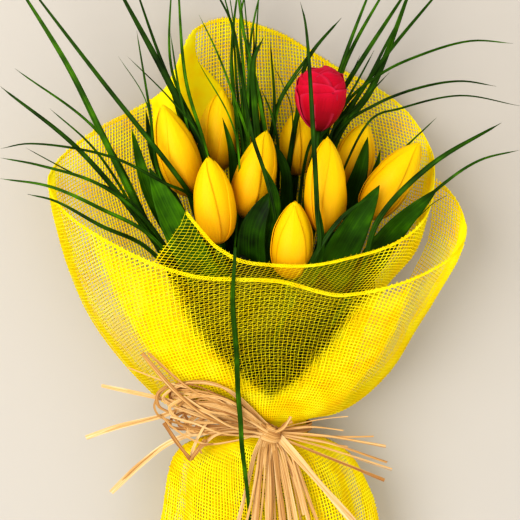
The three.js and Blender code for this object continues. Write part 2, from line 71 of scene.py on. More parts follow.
# Monotone cubic through rows (at, value, value...), read in one column.
def smoothRows(rows, at, column=1):
    rows = np.asarray(rows, float)
    x, y = rows[:, 0], rows[:, column]
    step = np.diff(y) / np.diff(x)
    both = step[:-1] * step[1:]
    total = np.where(step[:-1] + step[1:] == 0, 1, step[:-1] + step[1:])
    tangent = np.concatenate([step[:1], np.where(both > 0, 2 * both / total, 0), step[-1:]])
    at = np.clip(at, x[0], x[-1])
    k = np.clip(np.searchsorted(x, at, side="right") - 1, 0, len(x) - 2)
    width = x[k + 1] - x[k]
    t = (at - x[k]) / width
    s = 1 - t
    ends = y[k] * s * s * (1 + 2 * t) + y[k + 1] * t * t * (3 - 2 * t)
    return ends + tangent[k] * width * t * s * s - tangent[k + 1] * width * t * t * s


# Places seen at (x, y) on the level sight height by a viewer above, moved along the sight line to height z.
def seen(places):
    x, y, z = np.moveaxis(np.asarray(places, float), -1, 0)
    lift = z - sight["height"]
    sine, cosine = math.sin(sight["tilt"]), math.cos(sight["tilt"])
    share = y / sight["distance"]
    along = (y - share * lift * cosine + lift * sine) / (cosine + share * sine)
    depth = sight["distance"] - along * sine - lift * cosine
    return np.stack([x * depth / sight["distance"], along, z], -1)


# How far the stems have spread at y: a stem's distance from the tie's middle is its slope times this.
def spread(y):
    y = np.asarray(y, float)
    return np.hypot(np.where(y > tie[1], y - tie[1], (tie[1] - y) * spreadBelow), bind)


def onSlope(slope, y):
    y = np.asarray(y, float)
    reach = spread(y)
    return np.stack([tie[0] + slope[0] * reach, y, tie[2] + slope[1] * reach], -1)


# Length from a line's first place to each of its places, and the places at wanted lengths along it.
def lengthAlong(places):
    return np.concatenate([[0], np.cumsum(np.linalg.norm(np.diff(places, axis=0), axis=1))])


def readAlong(wanted, length, places):
    return np.stack([np.interp(wanted, length, places[:, k]) for k in range(3)], -1)


# Centripetal spline through a few places, read at count points an equal length apart.
def routeThrough(places, count):
    p = np.asarray(places, float)
    p = np.vstack([2 * p[0] - p[1], p, 2 * p[-1] - p[-2]])
    gap = np.maximum(np.sqrt(np.linalg.norm(np.diff(p, axis=0), axis=1)), 1e-4)[:, None]
    before, here, after = gap[:-2], gap[1:-1], gap[2:]
    a, b, c, d = p[:-3], p[1:-2], p[2:-1], p[3:]
    leave = ((b - a) / before - (c - a) / (before + here) + (c - b) / here) * here
    arrive = ((c - b) / here - (d - b) / (here + after) + (d - c) / after) * here
    t = np.linspace(0, 1, 25)[:, None, None]
    hermite = (2 * t**3 - 3 * t**2 + 1) * b + (t**3 - 2 * t**2 + t) * leave
    hermite = hermite + (3 * t**2 - 2 * t**3) * c + (t**3 - t**2) * arrive
    dense = hermite.transpose(1, 0, 2).reshape(-1, 3)
    length = lengthAlong(dense)
    return readAlong(np.linspace(0, length[-1], count), length, dense), length[-1]


# Way that a route runs at each of its places.
def headingOf(route):
    return unit(np.gradient(route, axis=0))


# Quads between the places of a grid; closed joins the last column to the first.
def gridFaces(rows, columns, closed=False):
    i = np.arange(rows - 1)[:, None]
    j = np.arange(columns if closed else columns - 1)[None]
    k = (j + 1) % columns
    corners = (i * columns + j, i * columns + k, (i + 1) * columns + k, (i + 1) * columns + j)
    return np.stack(corners, -1).reshape(-1, 4)


# Section (across, up) carried along a route: half widths and thicknesses scale it, twist turns it about the
# route, and facing is the way its upper side looks. The ends are closed by a fan about their middles. Its uv
# is in mm.
def sweep(route, section, half, thick, length, twist=0.0, facing=up, tone=0.0):
    n = len(route)
    forward = headingOf(route)
    side = unit(np.cross(np.broadcast_to(facing, route.shape), forward))
    top = np.cross(forward, side)
    turn = np.broadcast_to(twist, (n,))[:, None]
    side, top = side * np.cos(turn) + top * np.sin(turn), top * np.cos(turn) - side * np.sin(turn)
    section = np.asarray(section, float)
    half = np.broadcast_to(half, (n,))[:, None, None]
    thick = np.broadcast_to(thick, (n,))[:, None, None]
    points = route[:, None] + side[:, None] * section[None, :, :1] * half
    points = points + top[:, None] * section[None, :, 1:] * thick
    sides = len(section)
    faces = gridFaces(n, sides, True)
    middles = np.stack([points[0].mean(0), points[-1].mean(0)])
    j = np.arange(sides)
    k = (j + 1) % sides
    first = np.stack([np.full(sides, n * sides), k, j], -1)
    last = np.stack([np.full(sides, n * sides + 1), (n - 1) * sides + j, (n - 1) * sides + k], -1)
    across = section[None, :, 0] * half[:, 0]
    along = np.broadcast_to(np.linspace(0, length, n)[:, None], (n, sides))
    uv = np.vstack([np.stack([across, along], -1).reshape(-1, 2), [[0, 0], [0, length]]])
    return {"points": np.vstack([points.reshape(-1, 3), middles]), "quads": faces,
            "tris": np.vstack([first, last]), "uv": uv, "tone": tone}


# Grid of places as an open patch, with u across and v along as its uv.
def patch(points, u, v, tone=0.0):
    rows, columns = points.shape[:2]
    uv = np.stack(np.broadcast_arrays(u[None, :], v[:, None]), -1).reshape(-1, 2)
    return {"points": points.reshape(-1, 3), "quads": gridFaces(rows, columns), "tris": np.zeros((0, 3), int),
            "uv": uv, "tone": tone}


# A closed thin wall round an open patch: its own face, a copy below it, and a rim between them.
def wallOf(shape, thickness):
    points = shape["points"]
    lower = points - up * thickness
    n = len(points)
    quads = shape["quads"]
    edges = np.concatenate([quads[:, [k, (k + 1) % 4]] for k in range(4)])
    _, index, uses = np.unique(np.sort(edges, 1), axis=0, return_index=True, return_counts=True)
    rimEdges = edges[index[uses == 1]]
    walls = np.stack([rimEdges[:, 1], rimEdges[:, 0], rimEdges[:, 0] + n, rimEdges[:, 1] + n], -1)
    shape["points"] = np.vstack([points, lower])
    shape["quads"] = np.vstack([quads, quads[:, ::-1] + n, walls])
    shape["uv"] = np.vstack([shape["uv"], shape["uv"]])
    return shape


# Round section of so many sides.
def sectionOf(sides):
    angle = 2 * math.pi * np.arange(sides) / sides
    return np.stack([np.cos(angle), np.sin(angle)], -1)


def addObject(name, data):
    thing = bpy.data.objects.new(name, data)
    bpy.context.scene.collection.objects.link(thing)
    return thing


# One object from several patches, in metres, with a uv map and one tone for each patch.
def makePiece(name, patches, material, nodes=(), smooth=True, thickness=None):
    starts = np.cumsum([0] + [len(p["points"]) for p in patches[:-1]])
    points = np.vstack([p["points"] for p in patches]) * toMetres
    quads = np.vstack([p["quads"] + s for p, s in zip(patches, starts)])
    tris = np.vstack([p["tris"] + s for p, s in zip(patches, starts)])
    uv = np.vstack([p["uv"] for p in patches])
    tones = np.concatenate([np.broadcast_to(p["tone"], (len(p["points"]),)) for p in patches])
    corners = np.concatenate([quads.ravel(), tris.ravel()]).astype(np.int32)
    sizes = np.concatenate([np.full(len(quads), 4), np.full(len(tris), 3)]).astype(np.int32)
    mesh = bpy.data.meshes.new(name)
    mesh.vertices.add(len(points))
    mesh.vertices.foreach_set("co", points.astype(np.float32).ravel())
    mesh.loops.add(len(corners))
    mesh.loops.foreach_set("vertex_index", corners)
    mesh.polygons.add(len(sizes))
    mesh.polygons.foreach_set("loop_start", np.concatenate([[0], np.cumsum(sizes)[:-1]]).astype(np.int32))
    mesh.polygons.foreach_set("use_smooth", np.full(len(sizes), smooth))
    mesh.uv_layers.new(name="surface").data.foreach_set("uv", uv[corners].astype(np.float32).ravel())
    mesh.attributes.new("tone", "FLOAT", "POINT").data.foreach_set("value", tones.astype(np.float32))
    mesh.update(calc_edges=True)
    mesh.materials.append(material)
    piece = addObject(name, mesh)
    if thickness:
        wall = piece.modifiers.new("wall", "SOLIDIFY")
        wall.thickness = thickness * toMetres
        wall.offset = -1
        wall.use_even_offset = False
    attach(piece, "root")
    if nodes:
        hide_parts(*nodes)
    return piece


# sRGB hex to the linear colour that nodes take.
def linear(code):
    parts = [int(code[k:k + 2], 16) / 255 for k in (1, 3, 5)]
    return [p / 12.92 if p <= 0.04045 else ((p + 0.055) / 1.055) ** 2.4 for p in parts] + [1.0]


# Adds a node: inputs are values, or the nodes or sockets that feed them, and stops are a ramp's (place, hex).
def addNode(tree, kind, inputs=(), stops=(), **settings):
    node = tree.nodes.new("ShaderNode" + kind)
    for key, value in settings.items():
        setattr(node, key, value)
    for _ in range(len(stops) - 2):
        node.color_ramp.elements.new(0.5)
    for element, (place, code) in zip(node.color_ramp.elements if stops else (), stops):
        element.position = place
        element.color = linear(code)
    for socket, value in dict(inputs).items():
        if isinstance(value, bpy.types.Node):
            value = value.outputs[0]
        if isinstance(value, bpy.types.NodeSocket):
            tree.links.new(value, node.inputs[socket])
        else:
            node.inputs[socket].default_value = value
    return node


def newMaterial(name, **shader):
    material = bpy.data.materials.new(name)
    material.use_nodes = True
    tree = material.node_tree
    surface = tree.nodes["Principled BSDF"]
    for socket, value in shader.items():
        surface.inputs[socket.replace("_", " ")].default_value = value
    return material, tree, surface


# Streaks along a piece: noise on its uv, scaled for each way and moved by the piece's tone.
def streaks(tree, scale, detail, roughness=0.5):
    uv = addNode(tree, "UVMap", uv_map="surface")
    tone = addNode(tree, "Attribute", attribute_name="tone")
    drawn = addNode(tree, "Mapping", {0: uv, 3: scale})
    moved = addNode(tree, "VectorMath", {0: drawn, 1: tone.outputs["Vector"]}, operation="ADD")
    noise = addNode(tree, "TexNoise", {"Vector": moved, "Scale": 1.0, "Detail": detail,
                                       "Roughness": roughness})
    return uv, tone, noise


# Gives a surface its colour, and a height as a bump of so many mm.
def dress(tree, surface, colour, height, strength, depth):
    bump = addNode(tree, "Bump", {"Height": height, "Strength": strength, "Distance": depth * toMetres})
    tree.links.new(colour, surface.inputs["Base Color"])
    tree.links.new(bump.outputs[0], surface.inputs["Normal"])


# Petal: a silky skin of long cells, matt with a faint sheen. Its colour runs from foot to tip, darker towards
# the foot partly as painted shade; a painted edge tint stands for shade at the tulip's seams and a highlight
# on the rose's rims, and fine streaks run its length.
def petalMaterial(name, along, edge, deep, paintedEdgeShare, roughness):
    material, tree, surface = newMaterial(name, Roughness=roughness, IOR=1.4, Specular_IOR_Level=0.16,
                                          Subsurface_Weight=0.1, Subsurface_Scale=0.002)
    uv, _, noise = streaks(tree, (26, 1.6, 1), 5.0, 0.6)
    place = addNode(tree, "SeparateXYZ", {0: uv})
    body = addNode(tree, "ValToRGB", {0: place.outputs[1]}, stops=along)
    span = addNode(tree, "Math", {0: place}, operation="ABSOLUTE")
    wander = addNode(tree, "Math", {0: noise, 1: 0.14, 2: -0.07}, operation="MULTIPLY_ADD")
    reach = addNode(tree, "Math", {0: span, 1: wander}, operation="ADD")
    # the painted edge tint: painted shade along the tulip's seams, a painted highlight along the rose's rims
    paintedEdgeMask = addNode(tree, "MapRange", {0: reach, 1: 0.76, 2: 1.0, 3: 0.0, 4: paintedEdgeShare},
                       interpolation_type="SMOOTHSTEP")
    paintedEdged = addNode(tree, "Mix", {0: paintedEdgeMask, 6: body, 7: linear(edge)}, data_type="RGBA")
    lines = addNode(tree, "MapRange", {0: noise, 1: 0.48, 2: 0.75, 3: 0.0, 4: 0.4})
    lined = addNode(tree, "Mix", {0: lines, 6: paintedEdged.outputs[2], 7: linear(deep)}, data_type="RGBA")
    dress(tree, surface, lined.outputs[2], noise, 0.5, 0.12)
    return material


# Leaf: a waxed green skin over parallel veins, satin, with paler streaks, and darker where a piece's tone is
# set low, which is painted shade.
def leafMaterial(name, dark, mid, light, veinPitch, roughness):
    material, tree, surface = newMaterial(name, Roughness=roughness, IOR=1.45, Specular_IOR_Level=0.09)
    uv, tone, veins = streaks(tree, (1 / veinPitch, 0.02, 1), 3.0)
    blotches = addNode(tree, "TexNoise", {"Vector": uv, "Scale": 0.05, "Detail": 2.0})
    mixed = addNode(tree, "Math", {0: veins, 1: 0.6, 2: blotches}, operation="MULTIPLY_ADD")
    # the piece's tone moves the colour: at random for most pieces, and set low as painted shade for the stems
    # and the leaves in shadow
    shade = addNode(tree, "Math", {0: mixed, 1: tone.outputs["Fac"]}, operation="ADD")
    share = addNode(tree, "Math", {0: shade, 1: 0.62}, operation="MULTIPLY")
    colour = addNode(tree, "ValToRGB", {0: share}, stops=((0.25, dark), (0.52, mid), (0.8, light)))
    dress(tree, surface, colour.outputs[0], veins, 0.5, 0.1)
    return material


# Raffia: dried palm fibre split into flat strands, dull, with lengthwise streaks from cream to brown.
def raffiaMaterial():
    material, tree, surface = newMaterial("dried_raffia", Roughness=0.6, IOR=1.5, Specular_IOR_Level=0.3)
    _, tone, fibre = streaks(tree, (1.5, 0.018, 1), 5.0, 0.7)
    share = addNode(tree, "Math", {0: fibre, 1: 1.5, 2: -0.55}, operation="MULTIPLY_ADD")
    toned = addNode(tree, "Math", {0: tone.outputs["Fac"], 1: 0.07, 2: share}, operation="MULTIPLY_ADD")
    colour = addNode(tree, "ValToRGB", {0: toned},
                     stops=((0.0, "#96602a"), (0.28, "#cf9e5a"), (0.6, "#efce98"), (1.0, "#fff8e0")))
    dress(tree, surface, colour.outputs[0], fibre, 0.8, 0.25)
    return material


# Net: an open plain weave of stiffened polyester yarn, dyed through, matt and a little fuzzy.
def netMaterial():
    material, tree, surface = newMaterial("stiff_polyester_net", Roughness=0.7, IOR=1.5,
                                          Specular_IOR_Level=0.12)
    place = addNode(tree, "TexCoord")
    cloud = addNode(tree, "TexNoise", {"Vector": place.outputs["Object"], "Scale": 60.0, "Detail": 2.0})
    fuzz = addNode(tree, "TexNoise", {"Vector": place.outputs["Object"], "Scale": 1500.0, "Detail": 2.0})
    colour = addNode(tree, "ValToRGB", {0: cloud},
                     stops=((0.3, "#ffda00"), (0.5, "#ffe900"), (0.7, "#fff220")))
    dress(tree, surface, colour.outputs[0], fuzz, 0.4, 0.1)
    return material


netYellow = netMaterial()
# The tulip's edge tint is painted shade where its petals meet; its colour darkens towards the foot, partly
# its own colour and partly painted shade.
petalYellow = petalMaterial(
    "tulip_petal",
    ((0.0, "#6b4a08"), (0.05, "#b07a00"), (0.2, "#cc9200"), (0.55, "#f4bc00"), (1.0, "#facf00")),
    "#f2a400", "#f4b400", 0.32, 0.5)
# The rose's pale rim colour is a painted highlight; its colour darkens towards the foot, partly its own
# colour and partly painted shade.
petalRed = petalMaterial(
    "rose_petal", ((0.0, "#4a000a"), (0.3, "#8c0018"), (0.75, "#b60020"), (1.0, "#d00c36")),
    "#d83a5c", "#800016", 0.45, 0.6)
leafGreen = leafMaterial("tulip_leaf", "#081500", "#264c00", "#4c8200", 1.2, 0.5)
grassGreen = leafMaterial("bear_grass", "#0a1800", "#284c00", "#5c9600", 0.8, 0.45)
straw = raffiaMaterial()
print("materials are ready")


def addCamera():
    camera = addObject("camera", bpy.data.cameras.new("camera"))
    aim = Vector((0, 0, sight["height"])) * toMetres
    away = Vector((0, math.sin(sight["tilt"]), math.cos(sight["tilt"])))
    camera.location = aim + away * sight["distance"] * toMetres
    right = Vector((1, 0, 0))
    camera.rotation_euler = Matrix((right, away.cross(right), away)).transposed().to_euler()
    camera.data.sensor_width = sight["sensor"]
    camera.data.lens = sight["sensor"] * sight["distance"] / sight["width"]
    camera.data.shift_y = -10 / 520  # the aim is 10 pixels above the picture's middle
    camera.data.clip_start = 0.05
    bpy.context.scene.camera = camera


def addLight(name, place, size, power, colour):
    data = bpy.data.lights.new(name, "AREA")
    data.shape = "DISK"
    data.size = size
    data.energy = power
    data.color = colour
    light = addObject(name, data)
    light.location = place
    light.rotation_euler = (Vector(place) - Vector((0, 0, 0.05))).to_track_quat("Z", "Y").to_euler()


def addFloor():
    mesh = bpy.data.meshes.new("floor")
    half, depth = 12.0, -0.0006
    corners = [(-half, -half, depth), (half, -half, depth), (half, half, depth), (-half, half, depth)]
    mesh.from_pydata(corners, [], [(0, 1, 2, 3)])
    material, tree, surface = newMaterial("matt_paper", Roughness=0.9)
    place = addNode(tree, "TexCoord")
    shade = addNode(tree, "TexNoise", {"Vector": place.outputs["Object"], "Scale": 1.4, "Detail": 1.0})
    tint = addNode(tree, "ValToRGB", {0: shade}, stops=((0.35, "#bab3a9"), (0.65, "#c0bab1")))
    tree.links.new(tint.outputs[0], surface.inputs["Base Color"])
    mesh.materials.append(material)
    addObject("floor", mesh)


addCamera()
addFloor()
addLight("key", (-0.85, 0.3, 1.45), 1.3, 22, (1.0, 0.99, 0.97))
addLight("fill", (0.9, -0.5, 1.2), 1.4, 6, (1.0, 0.98, 0.96))
world = bpy.data.worlds.new("soft_room")
world.use_nodes = True
world.node_tree.nodes["Background"].inputs[0].default_value = (1.0, 0.985, 0.965, 1.0)
world.node_tree.nodes["Background"].inputs[1].default_value = 0.66
bpy.context.scene.world = world
bpy.context.scene.view_settings.view_transform = "Standard"
bpy.context.scene.view_settings.look = "Medium High Contrast"
print("camera, floor and light are set")


outline = [  # y, then the outer layer's left, right, low and high edge
    [-292, -84, 98, -3, 92],
    [-250, -81, 96, -3, 92],
    [-208, -75, 90, -3, 90],
    [-187, -73, 83, -2, 88],
    [-168, -69, 74, 2, 86],
    [-156, -61, 63, 7, 83],
    [-150, -48, 52, 10, 80],
    [-145, -25, 36.4, 15, 75.5],
    [-139, -24, 35.4, 15.5, 75],
    [-133, -25, 36.4, 15, 75.5],
    [-128, -57, 60, 8, 85],
    [-120, -76, 76, 4, 91],
    [-107, -91, 92, 1, 99],
    [-90, -107, 107, -2, 108],
    [-62, -127, 122, -3, 119],
    [-35, -140, 137, -4, 128],
    [10, -154, 157, -4, 134],
    [50, -161, 159, -4, 134],
    [110, -158, 150, -4, 130],
    [180, -146, 136, -4, 120],
]
rim = [  # angle round the wind, and the rim's place along the bunch there
    [-23.5, 40], [-15, 14], [-5, 3], [15, 0], [36, 6], [55, 14], [85, 39], [100, 72], [124, 109],
    [151, 136], [175, 166], [190, 174], [200, 166], [208, 122], [214, 110], [233, 90], [252, 72],
    [275, 54], [308, 23], [333, 0], [345, -6], [362, -7], [385, -20], [398, -17], [423, -2],
    [450, 20], [480, 51],
]
# y, and the inner turn's share of the outline
innerShare = [[-139, 0.78], [-133, 0.78], [-105, 0.7], [-60, 0.67], [-30, 0.69], [0, 0.77], [70, 0.86]]
net = {"start": -23.5, "end": 480, "slant": 130, "widens": (80, 280),  # the wind, in degrees
       "slantCurve": 1.35, "slantFade": 8, "boxy": 0.6, "boxyReach": 24,
       "level": 0.49,  # the sides' share of the height
       "pleats": 9, "pleatWaist": 1.2, "pleatFlat": 6, "pleatReach": 35,
       "pleatHem": 4.5, "pleatFrom": -150, "pleatOver": 90,
       "flapAngle": 204, "flapWidth": 7, "flapRise": 26,
       "hem": -292, "flareFrom": -128, "warpPitch": 2.9, "weftPitch": 2.8,  # as woven
       "spread": 1.32, "gathered": 0.9, "behind": 0.16, "measured": -12.0,  # shares of the pitch, and where
       "wander": 0.16, "past": 16, "round": 3000, "along": 300,
       "stepWarp": 12.0, "waist": 60, "stepWaist": 5.0, "stepWeft": 10.5, "leastSteps": 44,
       "over": 0.3, "under": (-0.45, -0.15), "loose": (0.2, 0.7)}  # warp over weft, and the weft's ends
# the yarns' radii: fine in front, in the inner layer a share of that, full for warp and weft in the folds
thick = {"fine": 0.108, "covered": 0.55, "innerTurn": 110, "bareFrom": 112, "bareOver": 12,
         "full": (0.48, 0.4), "beyond": 0.75, "beyondFrom": 5, "beyondOver": 25,
         "back": 0.38, "lobe": 0.55, "lobeFrom": 150, "lobeOver": 60, "uneven": (0.85, 1.15)}


def pleatDepth(y):
    above = net["pleatWaist"] * bell(np.maximum(0, y - tie[1] - net["pleatFlat"]) / net["pleatReach"])
    below = np.clip((net["pleatFrom"] - y) / net["pleatOver"], 0, 1)
    return above + (net["pleatHem"] - net["pleatWaist"]) * below


def outlineAt(y):
    left, right, low, high = (smoothRows(outline, y, column) for column in (1, 2, 3, 4))
    return (left + right) / 2, (right - left) / 2, low + (high - low) * net["level"], low, high


# The angle round the wind at a share u of it, and back.
def windAngle(u):
    return net["start"] + (net["end"] - net["start"]) * u


def windShare(angle):
    return (angle - net["start"]) / (net["end"] - net["start"])


def rimAt(u):
    return smoothRows(rim, windAngle(u))


# The sheet's outer face: u from 0 to 1 along the wind, y along the bunch. Its section is the outline's oval,
# narrowed by the share of the inner layers, with pleats as a cosine of the angle.
def netAt(u, y):
    rise = np.clip((y - net["flareFrom"]) / (rimAt(u) - net["flareFrom"]), 0, 1.1)
    slant = net["slant"] * (1 - np.minimum(rise, 1)) ** net["slantCurve"] * np.exp(-net["slantFade"] * u)
    angle = windAngle(u) - slant
    turn = np.radians(angle)
    inner = smoothRows(innerShare, y)
    first, last = net["widens"]
    layer = inner + (1 - inner) * smoothStep((angle - first) / (last - first))
    centre, half, middle, low, high = outlineAt(y)
    pleat = pleatDepth(y) * np.cos(net["pleats"] * turn)
    x = centre + (half * layer + pleat) * np.sin(turn)
    front = middle + ((high - middle) * layer + pleat) * np.cos(turn)
    boxy = net["boxy"] + (1 - net["boxy"]) * bell((y - tie[1]) / net["boxyReach"])
    back = middle - (middle - low + pleat) * np.abs(np.cos(turn)) ** boxy
    flap = net["flapRise"] * rise**3 * bell((angle - net["flapAngle"]) / net["flapWidth"])
    lying = np.maximum(0.6, np.where(np.cos(turn) > 0, front, back))
    return np.stack([x, y + lean(y, lying), lying + flap], -1)


# Height of the wrap's outer front at places (x, y), or 0 outside it.
def frontHeight(x, y):
    centre, half, middle, _, high = outlineAt(y)
    share = np.clip((x - centre) / half, -1, 1)
    return np.where(np.abs(share) >= 1, 0, middle + (high - middle + pleatDepth(y)) * np.sqrt(1 - share**2))


# Where the warp yarns stand, u, and where the weft yarns cross them. The net is spread at the front and
# gathered at the sides and back, so the warp's pitch follows the cosine of the angle round the wind. The weft
# lies an equal distance apart along the warp, so the cut rim crosses it where the rim slopes.
def weave():
    fine = np.linspace(0, 1, net["round"])
    ring = netAt(fine, np.full(net["round"], net["measured"]))
    facing = np.cos(np.radians(windAngle(fine[1:])))
    close = net["gathered"] - net["behind"] * smoothStep((-facing - 0.2) / 0.5)
    pitch = net["warpPitch"] * (close + (net["spread"] - close) * smoothStep((facing - 0.2) / 0.6))
    number = np.concatenate([[0], np.cumsum(np.linalg.norm(np.diff(ring, axis=0), axis=1) / pitch)])
    count = int(number[-1])
    u = np.interp(np.linspace(0, number[-1], count), number, fine)
    rimY = rimAt(u)
    t = np.linspace(0, 1, net["along"])[None]
    y = net["hem"] + (rimY[:, None] + net["past"] - net["hem"]) * t
    wander = np.cumsum(rng.normal(0, 1, (count, net["along"])), 1)
    wander = (wander - wander.mean(1, keepdims=True)) / 30
    curves = netAt(u[:, None] + np.clip(wander, -1, 1) * net["wander"] / count, y)
    steps = np.linalg.norm(np.diff(curves, axis=1), axis=2)
    length = np.concatenate([np.zeros((count, 1)), np.cumsum(steps, 1)], 1)
    waist = np.array([np.interp(tie[1], y[i], length[i]) for i in range(count)])[:, None]
    length = length - waist
    rimLength = np.array([np.interp(rimY[i], y[i], length[i]) for i in range(count)])
    lowest, highest = length[:, 0].min() / net["weftPitch"], rimLength.max() / net["weftPitch"]
    at = np.arange(math.ceil(lowest), int(highest) + 1) * net["weftPitch"]
    crossings = np.stack([readAlong(at, length[i], curves[i]) for i in range(count)])
    normal = unit(np.cross(np.gradient(crossings, axis=1), np.gradient(crossings, axis=0)))
    return {"curves": curves, "length": length, "rim": rimLength, "at": at, "crossings": crossings,
            "normal": normal, "count": count, "angle": windAngle(u)}


folds = {"foot": -128, "top": 30, "wide": 62, "under": 1.8, "step": 0.62, "pitch": 1.4, "radius": 0.36,
         "soft": 24, "sharp": 5, "fade": 14, "least": 0.05, "stepAlong": 7.0, "across": 22}

# y, and x of the edges of the folds beside the open front wedge: left outer and inner, right inner and outer
foldEdges = [[-140, -60, 30, -20, 60], [-120, -56, 18, 0, 62], [-107, -54, 4, 14, 68],
             [-96, -62, -10, 29, 76], [-77, -78, -29, 45, 90], [-62, -87, -42, 57, 97],
             [-38, -99, -57, 72, 106], [-9, -112, -68, 84, 114], [17, -122, -76, 94, 120],
             [60, -140, -90, 110, 132]]


# Shares at places (x, y): how far past the wedge's soft edge, and how far past the folds' sharper one.
def foldShares(x, y):
    leftOut, leftIn, rightIn, rightOut = (smoothRows(foldEdges, y, column) for column in (1, 2, 3, 4))
    past = smoothStep(np.maximum(leftIn - x, x - rightIn) / folds["soft"] + 0.5)
    beyond = smoothStep(np.maximum(leftOut - x, x - rightOut) / folds["sharp"])
    return past, beyond


# A yarn's radius at its places, by its angle round the wind and a length above the tie. Over the front the
# yarns are fine, and finer still in the inner layer where the outer one covers it. They swell in the folds
# beside the front wedge, less so further out, and at the tie.
def yarnRadius(middle, angle, above, full):
    x, y, z = middle.T
    _, _, level, _, high = outlineAt(y)
    facing = (z - level) / (high - level)
    past, beyond = foldShares(x, y)
    beyond = beyond * smoothStep((above - thick["beyondFrom"]) / thick["beyondOver"])
    gathered = past * (1 - thick["beyond"] * beyond)
    bare = smoothStep((above - thick["bareFrom"]) / thick["bareOver"])
    covered = np.where(angle < thick["innerTurn"], thick["covered"] + (1 - thick["covered"]) * bare, 1)
    front = thick["fine"] * covered + (full - thick["fine"]) * gathered
    lobe = smoothStep((above - thick["lobeFrom"]) / thick["lobeOver"])
    back = thick["back"] + (thick["lobe"] - thick["back"]) * lobe
    return front + (back - front) * smoothStep(0.5 - facing * 4)


# A yarn: three flat sides round its middle line, a little thicker and thinner along its length.
def yarn(middle, normal, radius):
    n = len(middle)
    across = unit(np.cross(headingOf(middle), normal))
    angle = np.radians([90, 210, 330])
    ring = across[:, None] * np.cos(angle)[None, :, None] + normal[:, None] * np.sin(angle)[None, :, None]
    points = middle[:, None] + ring * (radius * rng.uniform(*thick["uneven"], n))[:, None, None]
    return {"points": points.reshape(-1, 3), "quads": gridFaces(n, 3, True), "uv": np.zeros((3 * n, 2)),
            "tris": np.array([[2, 1, 0], [3 * n - 3, 3 * n - 2, 3 * n - 1]]), "tone": 0.0,
            "radius": float(np.mean(radius))}


# Values at places between whole numbers.
def readAt(index, values):
    low = np.clip(index.astype(int), 0, len(values) - 2)
    part = (index - low)[:, None]
    return values[low] * (1 - part) + values[low + 1] * part


# A warp yarn from the skirt's edge to a little past the rim, with closer places near the tie.
def warpYarn(w, i):
    start, stop, near = w["length"][i, 0], w["rim"][i] + rng.uniform(0.2, 1.5), net["waist"]
    below = np.linspace(start, -near, max(2, round((-near - start) / net["stepWarp"])))
    waist = np.arange(-near + net["stepWaist"], min(near, stop), net["stepWaist"])
    above = [stop]
    if stop > near + 2:
        above = np.linspace(near, stop, max(2, round((stop - near) / net["stepWarp"])))
    where = np.concatenate([below, waist, above])
    middle = readAlong(where, w["length"][i], w["curves"][i])
    n = unit(readAt(np.clip((where - w["at"][0]) / net["weftPitch"], 0, len(w["at"]) - 1), w["normal"][i]))
    return yarn(middle + n * net["over"], n, yarnRadius(middle, w["angle"][i], where, thick["full"][0]))


# A weft yarn from its first to its last warp, on to the cut rim, or by a loose end past the sheet's side.
def weftYarn(w, j, first, stop):
    run = w["crossings"][first:stop, j]
    reach = lengthAlong(run)
    count = int(max(reach[-1] / net["stepWeft"], net["leastSteps"] * (stop - first) / w["count"], 2)) + 1
    index = np.interp(np.linspace(0, reach[-1], count), reach, np.arange(stop - first))
    middle, n = readAt(index, run), unit(readAt(index, w["normal"][first:stop, j]))
    middle = middle + n * rng.uniform(*net["under"], (count, 1))
    for end, beyond in ((first, first - 1), (stop - 1, stop)):
        if 0 <= beyond < w["count"]:
            step = w["crossings"][beyond, j] - w["crossings"][end, j]
            over = max(w["rim"][end] - w["rim"][beyond], 1e-6)
            share = min((w["rim"][end] - w["at"][j]) / over, 0.95)
        else:
            step = run[0] - run[1] if end == first else run[-1] - run[-2]
            share = rng.uniform(*net["loose"])
        place = w["crossings"][end, j] + step * share
        middle = np.vstack([place, middle]) if end == first else np.vstack([middle, place])
        n = np.vstack([n[:1], n]) if end == first else np.vstack([n, n[-1:]])
    index = np.concatenate([[0], index, [stop - first]])
    angle = np.interp(index, np.arange(stop - first), w["angle"][first:stop])
    return yarn(middle, n, yarnRadius(middle, angle, w["at"][j], thick["full"][1]))


def netYarns(w):
    patches = [warpYarn(w, i) for i in range(w["count"])]
    for j, at in enumerate(w["at"]):
        inside = (at <= w["rim"]) & (at > w["length"][:, 0])
        edges = np.flatnonzero(np.diff(np.concatenate([[0], inside.astype(int), [0]])))
        for first, stop in zip(edges[::2], edges[1::2]):
            if stop - first > 2:
                patches.append(weftYarn(w, j, first, stop))
    return patches


hem = {"sink": 1.3, "inward": 4, "wave": 1.25, "rise": 0.45, "turn": 5.2, "slip": 0.12, "yarn": 0.33,
       "steps": 2400}


# The hem: three yarns plaited along the rim. Each swings across and over as cosine and sine of its length.
def netHem(w):
    count = w["count"]
    rims = [np.stack([readAlong(w["rim"][i] - drop, w["length"][i], w["curves"][i]) for i in range(count)])
            for drop in (hem["sink"], hem["sink"] + hem["inward"])]
    route, length = routeThrough(rims[0][::3], hem["steps"])
    dense, sparse = np.linspace(0, 1, hem["steps"]), np.linspace(0, 1, count)
    inward = unit(readAlong(dense, sparse, unit(rims[1] - rims[0])))
    over = unit(np.cross(inward, headingOf(route)))
    slow = np.cumsum(rng.normal(0, hem["slip"], hem["steps"]))
    patches = []
    for k in range(3):
        phase = 2 * math.pi * (dense * length / hem["turn"] + k / 3) + slow
        path = route + inward * (hem["wave"] * np.cos(phase))[:, None]
        path = path + over * (hem["rise"] * np.sin(phase))[:, None]
        patches.append(sweep(path, sectionOf(5), hem["yarn"], hem["yarn"], length, facing=over))
    return patches


# y, and the wind's angle at the roll's inner and outer edge, where the back lobe's side folds forward
rollEdges = [[60, 186, 213], [100, 188, 213], [110, 189, 213.5], [117, 190, 210], [122, 191.5, 208],
             [132, 194.8, 206], [141, 198, 204.7], [149, 199, 203.5], [158, 199.4, 202], [164, 199, 200.3],
             [168.5, 197.6, 198.2]]
roll = {"lift": 0.9, "bulge": 2.6, "full": 14, "wall": 0.6, "rows": 60, "columns": 17}


